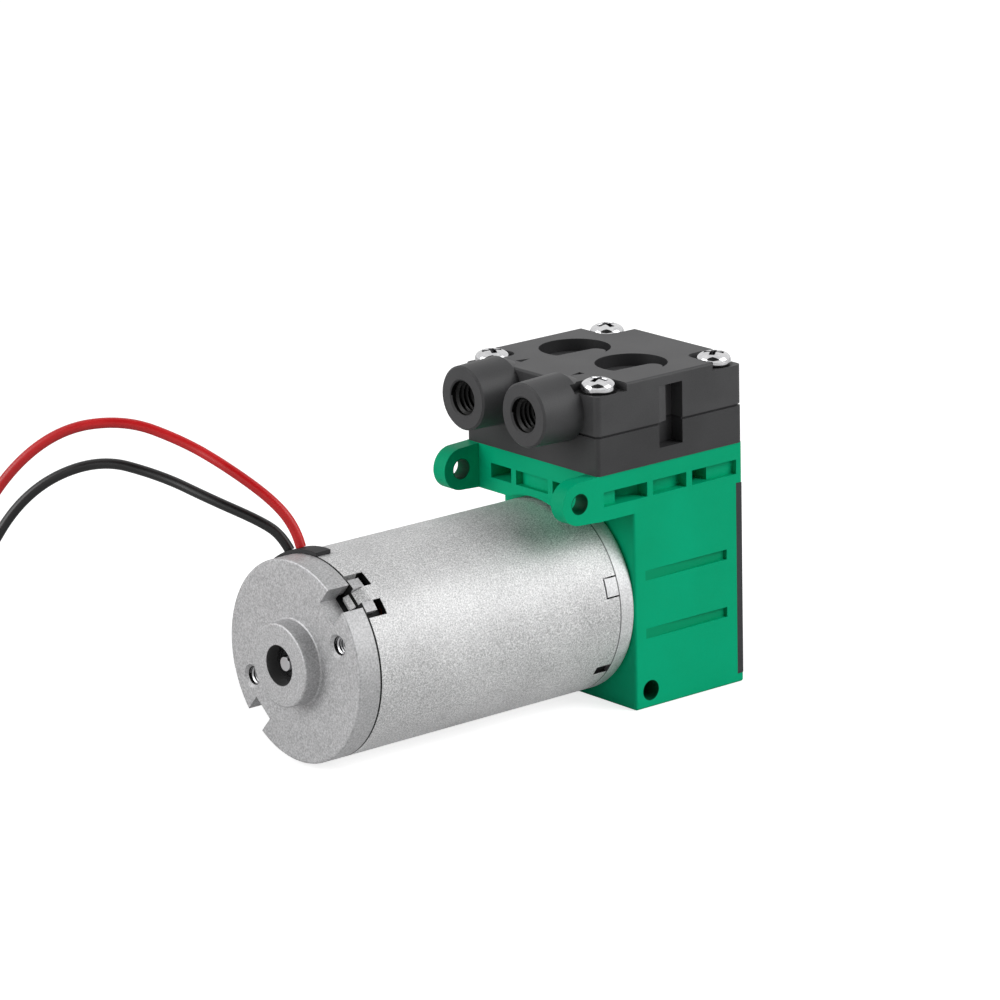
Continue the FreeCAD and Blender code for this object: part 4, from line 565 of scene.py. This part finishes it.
def pan_head(columns=128):
    """A pan head: height falls from its middle as a superellipse of the radius, less a cross recess.

    Its lower edge is a quarter of an ellipse that rolls in under the head."""
    radius = np.concatenate([np.linspace(0.0, 1.95, 46)[1:] * mm, np.linspace(2.05, 2.96, 14) * mm,
                             [head_radius]])[:, None]
    angle = np.linspace(0, 2 * np.pi, columns, endpoint=False)[None, :]
    across, ahead = radius * np.cos(angle), radius * np.sin(angle)
    edge = 0.3 * head_height
    dome = edge + (head_height - edge) * (1 - (radius / head_radius) ** 2.5) ** (1 / 2.5)
    height = dome - cross_recess(across, ahead, depth=1.35 * mm, arm=1.85 * mm, half_width=0.46 * mm)
    top = np.stack([across, ahead, height], axis=-1)
    roll = np.linspace(0.0, np.pi / 2, 7)[:, None]
    narrow = head_radius - 0.45 * mm * (1 - np.cos(roll))
    rise = 0.5 * mm * (1 - np.sin(roll)) + 0 * angle
    under = np.stack([narrow * np.cos(angle), narrow * np.sin(angle), rise], axis=-1)
    return np.concatenate([top, under])


screws = []
for place, turn in zip(screw_places, (17.0, 64.0, 38.0, 81.0)):
    spin = np.array(Matrix.Rotation(math.radians(turn), 3, "Z"))
    screws += [shell @ spin.T + np.array(place) for shell in (pan_head(), screw_shank(20.0 * mm))]
bright_chrome = finish("bright_chrome", paint(200, 200, 202), paint(232, 232, 233), (0.04, 0.09),
                       metallic=1.0, fine=2600.0, relief=6e-7, broad=500.0)
# Painted shade in each pan head's cross recess.
for place in screw_places:
    shade(bright_chrome, recess_shade, place, downwards, radius=1.75 * mm, start=-2.12 * mm)
head_screws = closed_piece("pan_head_screws", screws, bright_chrome, "root", sharp=30.0)
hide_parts("head_screws")

# Leads: two stranded copper wires in soft insulation, red and black, with tinned ends.
# Each rises from the grommet in an arch, comes down behind the motor and lies on the floor.
lead_width = 1.8 * mm


def lead(name, node, route, colours):
    """A round wire along the smooth line that its route's points guide."""
    curve = bpy.data.curves.new(name, "CURVE")
    curve.dimensions = "3D"
    spline = curve.splines.new("NURBS")
    spline.points.add(len(route) - 1)
    for point, place in zip(spline.points, route):
        point.co = (place[0] * mm, place[1] * mm, place[2] * mm, 1.0)
    spline.order_u = 3
    spline.use_endpoint_u = True
    spline.resolution_u = 24
    curve.bevel_depth = lead_width / 2
    curve.bevel_resolution = 6
    curve.use_fill_caps = True
    curve.materials.append(finish(name + "_insulation", *colours, (0.3, 0.44), fine=3800.0,
                                  relief=2e-6, broad=120.0, share=0.3))
    piece = bpy.data.objects.new(name, curve)
    bpy.context.scene.collection.objects.link(piece)
    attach(piece, "root")
    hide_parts(node)
    return piece


red_route = [(-35.1, 5.1, 35.95), (-35.4, 5.8, 38.9), (-37.6, 8.6, 43.6), (-41.7, 15.4, 48.8),
             (-44.9, 23.6, 52.5), (-51.6, 31.0, 56.2), (-60.6, 38.6, 54.6), (-69.6, 44.0, 45.6),
             (-76.2, 47.0, 31.0), (-79.6, 49.0, 17.4), (-83.1, 51.2, 7.0), (-88.9, 55.2, 2.0),
             (-97.0, 63.0, 1.45), (-99.0, 82.6, 1.45)]
black_route = [(-35.1, 8.2, 34.7), (-35.9, 9.3, 37.3), (-38.5, 11.8, 39.8), (-43.2, 19.0, 43.0),
               (-46.6, 28.2, 46.0), (-53.4, 37.2, 48.6), (-62.6, 45.6, 42.8), (-69.4, 50.6, 29.6),
               (-73.4, 53.6, 16.6), (-77.0, 56.4, 7.0), (-83.0, 61.2, 2.0), (-90.0, 70.0, 1.45),
               (-92.0, 84.0, 1.45), (-86.0, 93.0, 1.45), (-76.0, 95.0, 1.45)]
tinned_strands = finish("tinned_strands", paint(178, 176, 170), paint(226, 224, 218), (0.2, 0.36),
                        metallic=1.0, fine=3000.0, relief=2e-6)
dress(tinned_strands, "lead_tips")
red_lead = lead("red_lead", "lead_red", red_route,
                (paint(180, 16, 22), paint(200, 28, 32)))
black_lead = lead("black_lead", "lead_black", black_route,
                  (paint(12, 12, 13), paint(24, 24, 25)))

# Floor: a plain pale sheet that the pump stands on, white to the camera, which keeps soft shadows.
# The room round it is white to the camera and in reflections, and lights matt surfaces a little.


def seen_strength(tree, sources, given):
    """A strength as given for matt surfaces, changed to another one for each kind of ray in sources."""
    path = tree.nodes.new("ShaderNodeLightPath")
    total = None
    for kind, strength in sources:
        step = tree.nodes.new("ShaderNodeMath")
        step.operation = "MULTIPLY_ADD"
        step.inputs[1].default_value = strength - given
        step.inputs[2].default_value = given
        tree.links.new(path.outputs[kind], step.inputs[0])
        if total:
            tree.links.new(total, step.inputs[2])
        total = step.outputs[0]
    return total


floor_mesh = bpy.data.meshes.new("floor")
floor_mesh.from_pydata([(-4, -4, 0), (4, -4, 0), (4, 4, 0), (-4, 4, 0)], [], [(0, 1, 2, 3)])
floor = bpy.data.objects.new("floor", floor_mesh)
bpy.context.scene.collection.objects.link(floor)
floor_paper = bpy.data.materials.new("floor_paper")
floor_paper.use_nodes = True
paper = floor_paper.node_tree
sheet = paper.nodes["Principled BSDF"]
sheet.inputs["Base Color"].default_value = (0.6, 0.6, 0.6, 1.0)
sheet.inputs["Roughness"].default_value = 0.9
sheet.inputs["Specular IOR Level"].default_value = 0.0
sheet.inputs["Emission Color"].default_value = (1.0, 1.0, 1.0, 1.0)
paper.links.new(seen_strength(paper, [("Is Camera Ray", 0.75), ("Is Glossy Ray", 0.15)], 0.0),
                sheet.inputs["Emission Strength"])
floor_mesh.materials.append(floor_paper)

world = bpy.data.worlds.new("pale_room")
bpy.context.scene.world = world
world.use_nodes = True
sky = world.node_tree.nodes["Background"]
sky.inputs["Color"].default_value = (1.0, 1.0, 1.0, 1.0)
room_strength = seen_strength(world.node_tree, [("Is Camera Ray", 1.0), ("Is Glossy Ray", 0.9)], 0.22)
world.node_tree.links.new(room_strength, sky.inputs["Strength"])

# Lamps: two broad soft ones from the camera's right and above, and one from its left.
# Each is an area lamp turned to the pump; the second one lights matt surfaces and leaves no glint.


def soft_lamp(name, place, size, power, glints=True):
    """A square area lamp that looks at the pump's middle, and shows in metal unless told not to."""
    lamp = bpy.data.lights.new(name, "AREA")
    lamp.shape = "SQUARE"
    lamp.size = size
    lamp.energy = power
    holder = bpy.data.objects.new(name, lamp)
    back = np.array(place) - [0.0, 0.0, 0.03]
    back = back / np.linalg.norm(back)
    right = np.cross([0.0, 0.0, 1.0], back)
    right = right / np.linalg.norm(right)
    turn = np.eye(4)
    turn[:3, :3] = np.stack([right, np.cross(back, right), back], axis=1)
    turn[:3, 3] = place
    holder.matrix_world = Matrix(turn.tolist())
    holder.visible_glossy = glints
    bpy.context.scene.collection.objects.link(holder)


soft_lamp("key_lamp", (0.75, -0.95, 0.75), 1.0, 7.0)
soft_lamp("matt_key_lamp", (0.7, -0.95, 0.8), 1.0, 9.5, glints=False)
soft_lamp("fill_lamp", (-1.0, 0.35, 0.5), 0.9, 9.0)

# Dark card: a black sheet over the camera, hung as in a studio to draw dark lines in bright metal.
# Only metal sees it; it gives no light and no shadow.
card_height = 0.7
card_corners = [(-1.1, -1.1), (0.1, -1.1), (0.1, 0.1), (-1.1, 0.1)]
card_mesh = bpy.data.meshes.new("dark_card")
card_mesh.from_pydata([(x, y, card_height) for x, y in card_corners], [], [(0, 1, 2, 3)])
card_paint = bpy.data.materials.new("card_paint")
card_paint.use_nodes = True
card_skin = card_paint.node_tree.nodes["Principled BSDF"]
card_skin.inputs["Base Color"].default_value = (0.01, 0.01, 0.01, 1.0)
card_mesh.materials.append(card_paint)
dark_card = bpy.data.objects.new("dark_card", card_mesh)
bpy.context.scene.collection.objects.link(dark_card)
dark_card.visible_camera = False
dark_card.visible_diffuse = False
dark_card.visible_shadow = False

# Camera: a long lens, level with the photograph's line of sight, fitted to the pump's own edges.
# Azimuth, elevation and roll turn it; its distance and lens set the perspective.
azimuth, elevation, roll = math.radians(-39.607), math.radians(15.772), math.radians(-1.281)
looked_at = np.array([4.08, 0.0, 37.36]) * mm
camera_distance = 906.31
camera_data = bpy.data.cameras.new("camera")
camera_data.sensor_width = 36.0
camera_data.lens = 190.99
camera_data.clip_start = 0.01
camera_data.clip_end = 20.0
camera = bpy.data.objects.new("camera", camera_data)
bpy.context.scene.collection.objects.link(camera)
backward = np.array([math.sin(azimuth) * math.cos(elevation), -math.cos(azimuth) * math.cos(elevation),
                     math.sin(elevation)])
level = np.array([math.cos(azimuth), math.sin(azimuth), 0.0])
upright = np.cross(backward, level)
pose = np.eye(4)
pose[:3, 0] = math.cos(roll) * level + math.sin(roll) * upright
pose[:3, 1] = math.cos(roll) * upright - math.sin(roll) * level
pose[:3, 2] = backward
pose[:3, 3] = looked_at + backward * camera_distance * mm
camera.matrix_world = Matrix(pose.tolist())
bpy.context.scene.camera = camera
bpy.context.scene.view_settings.view_transform = "Standard"
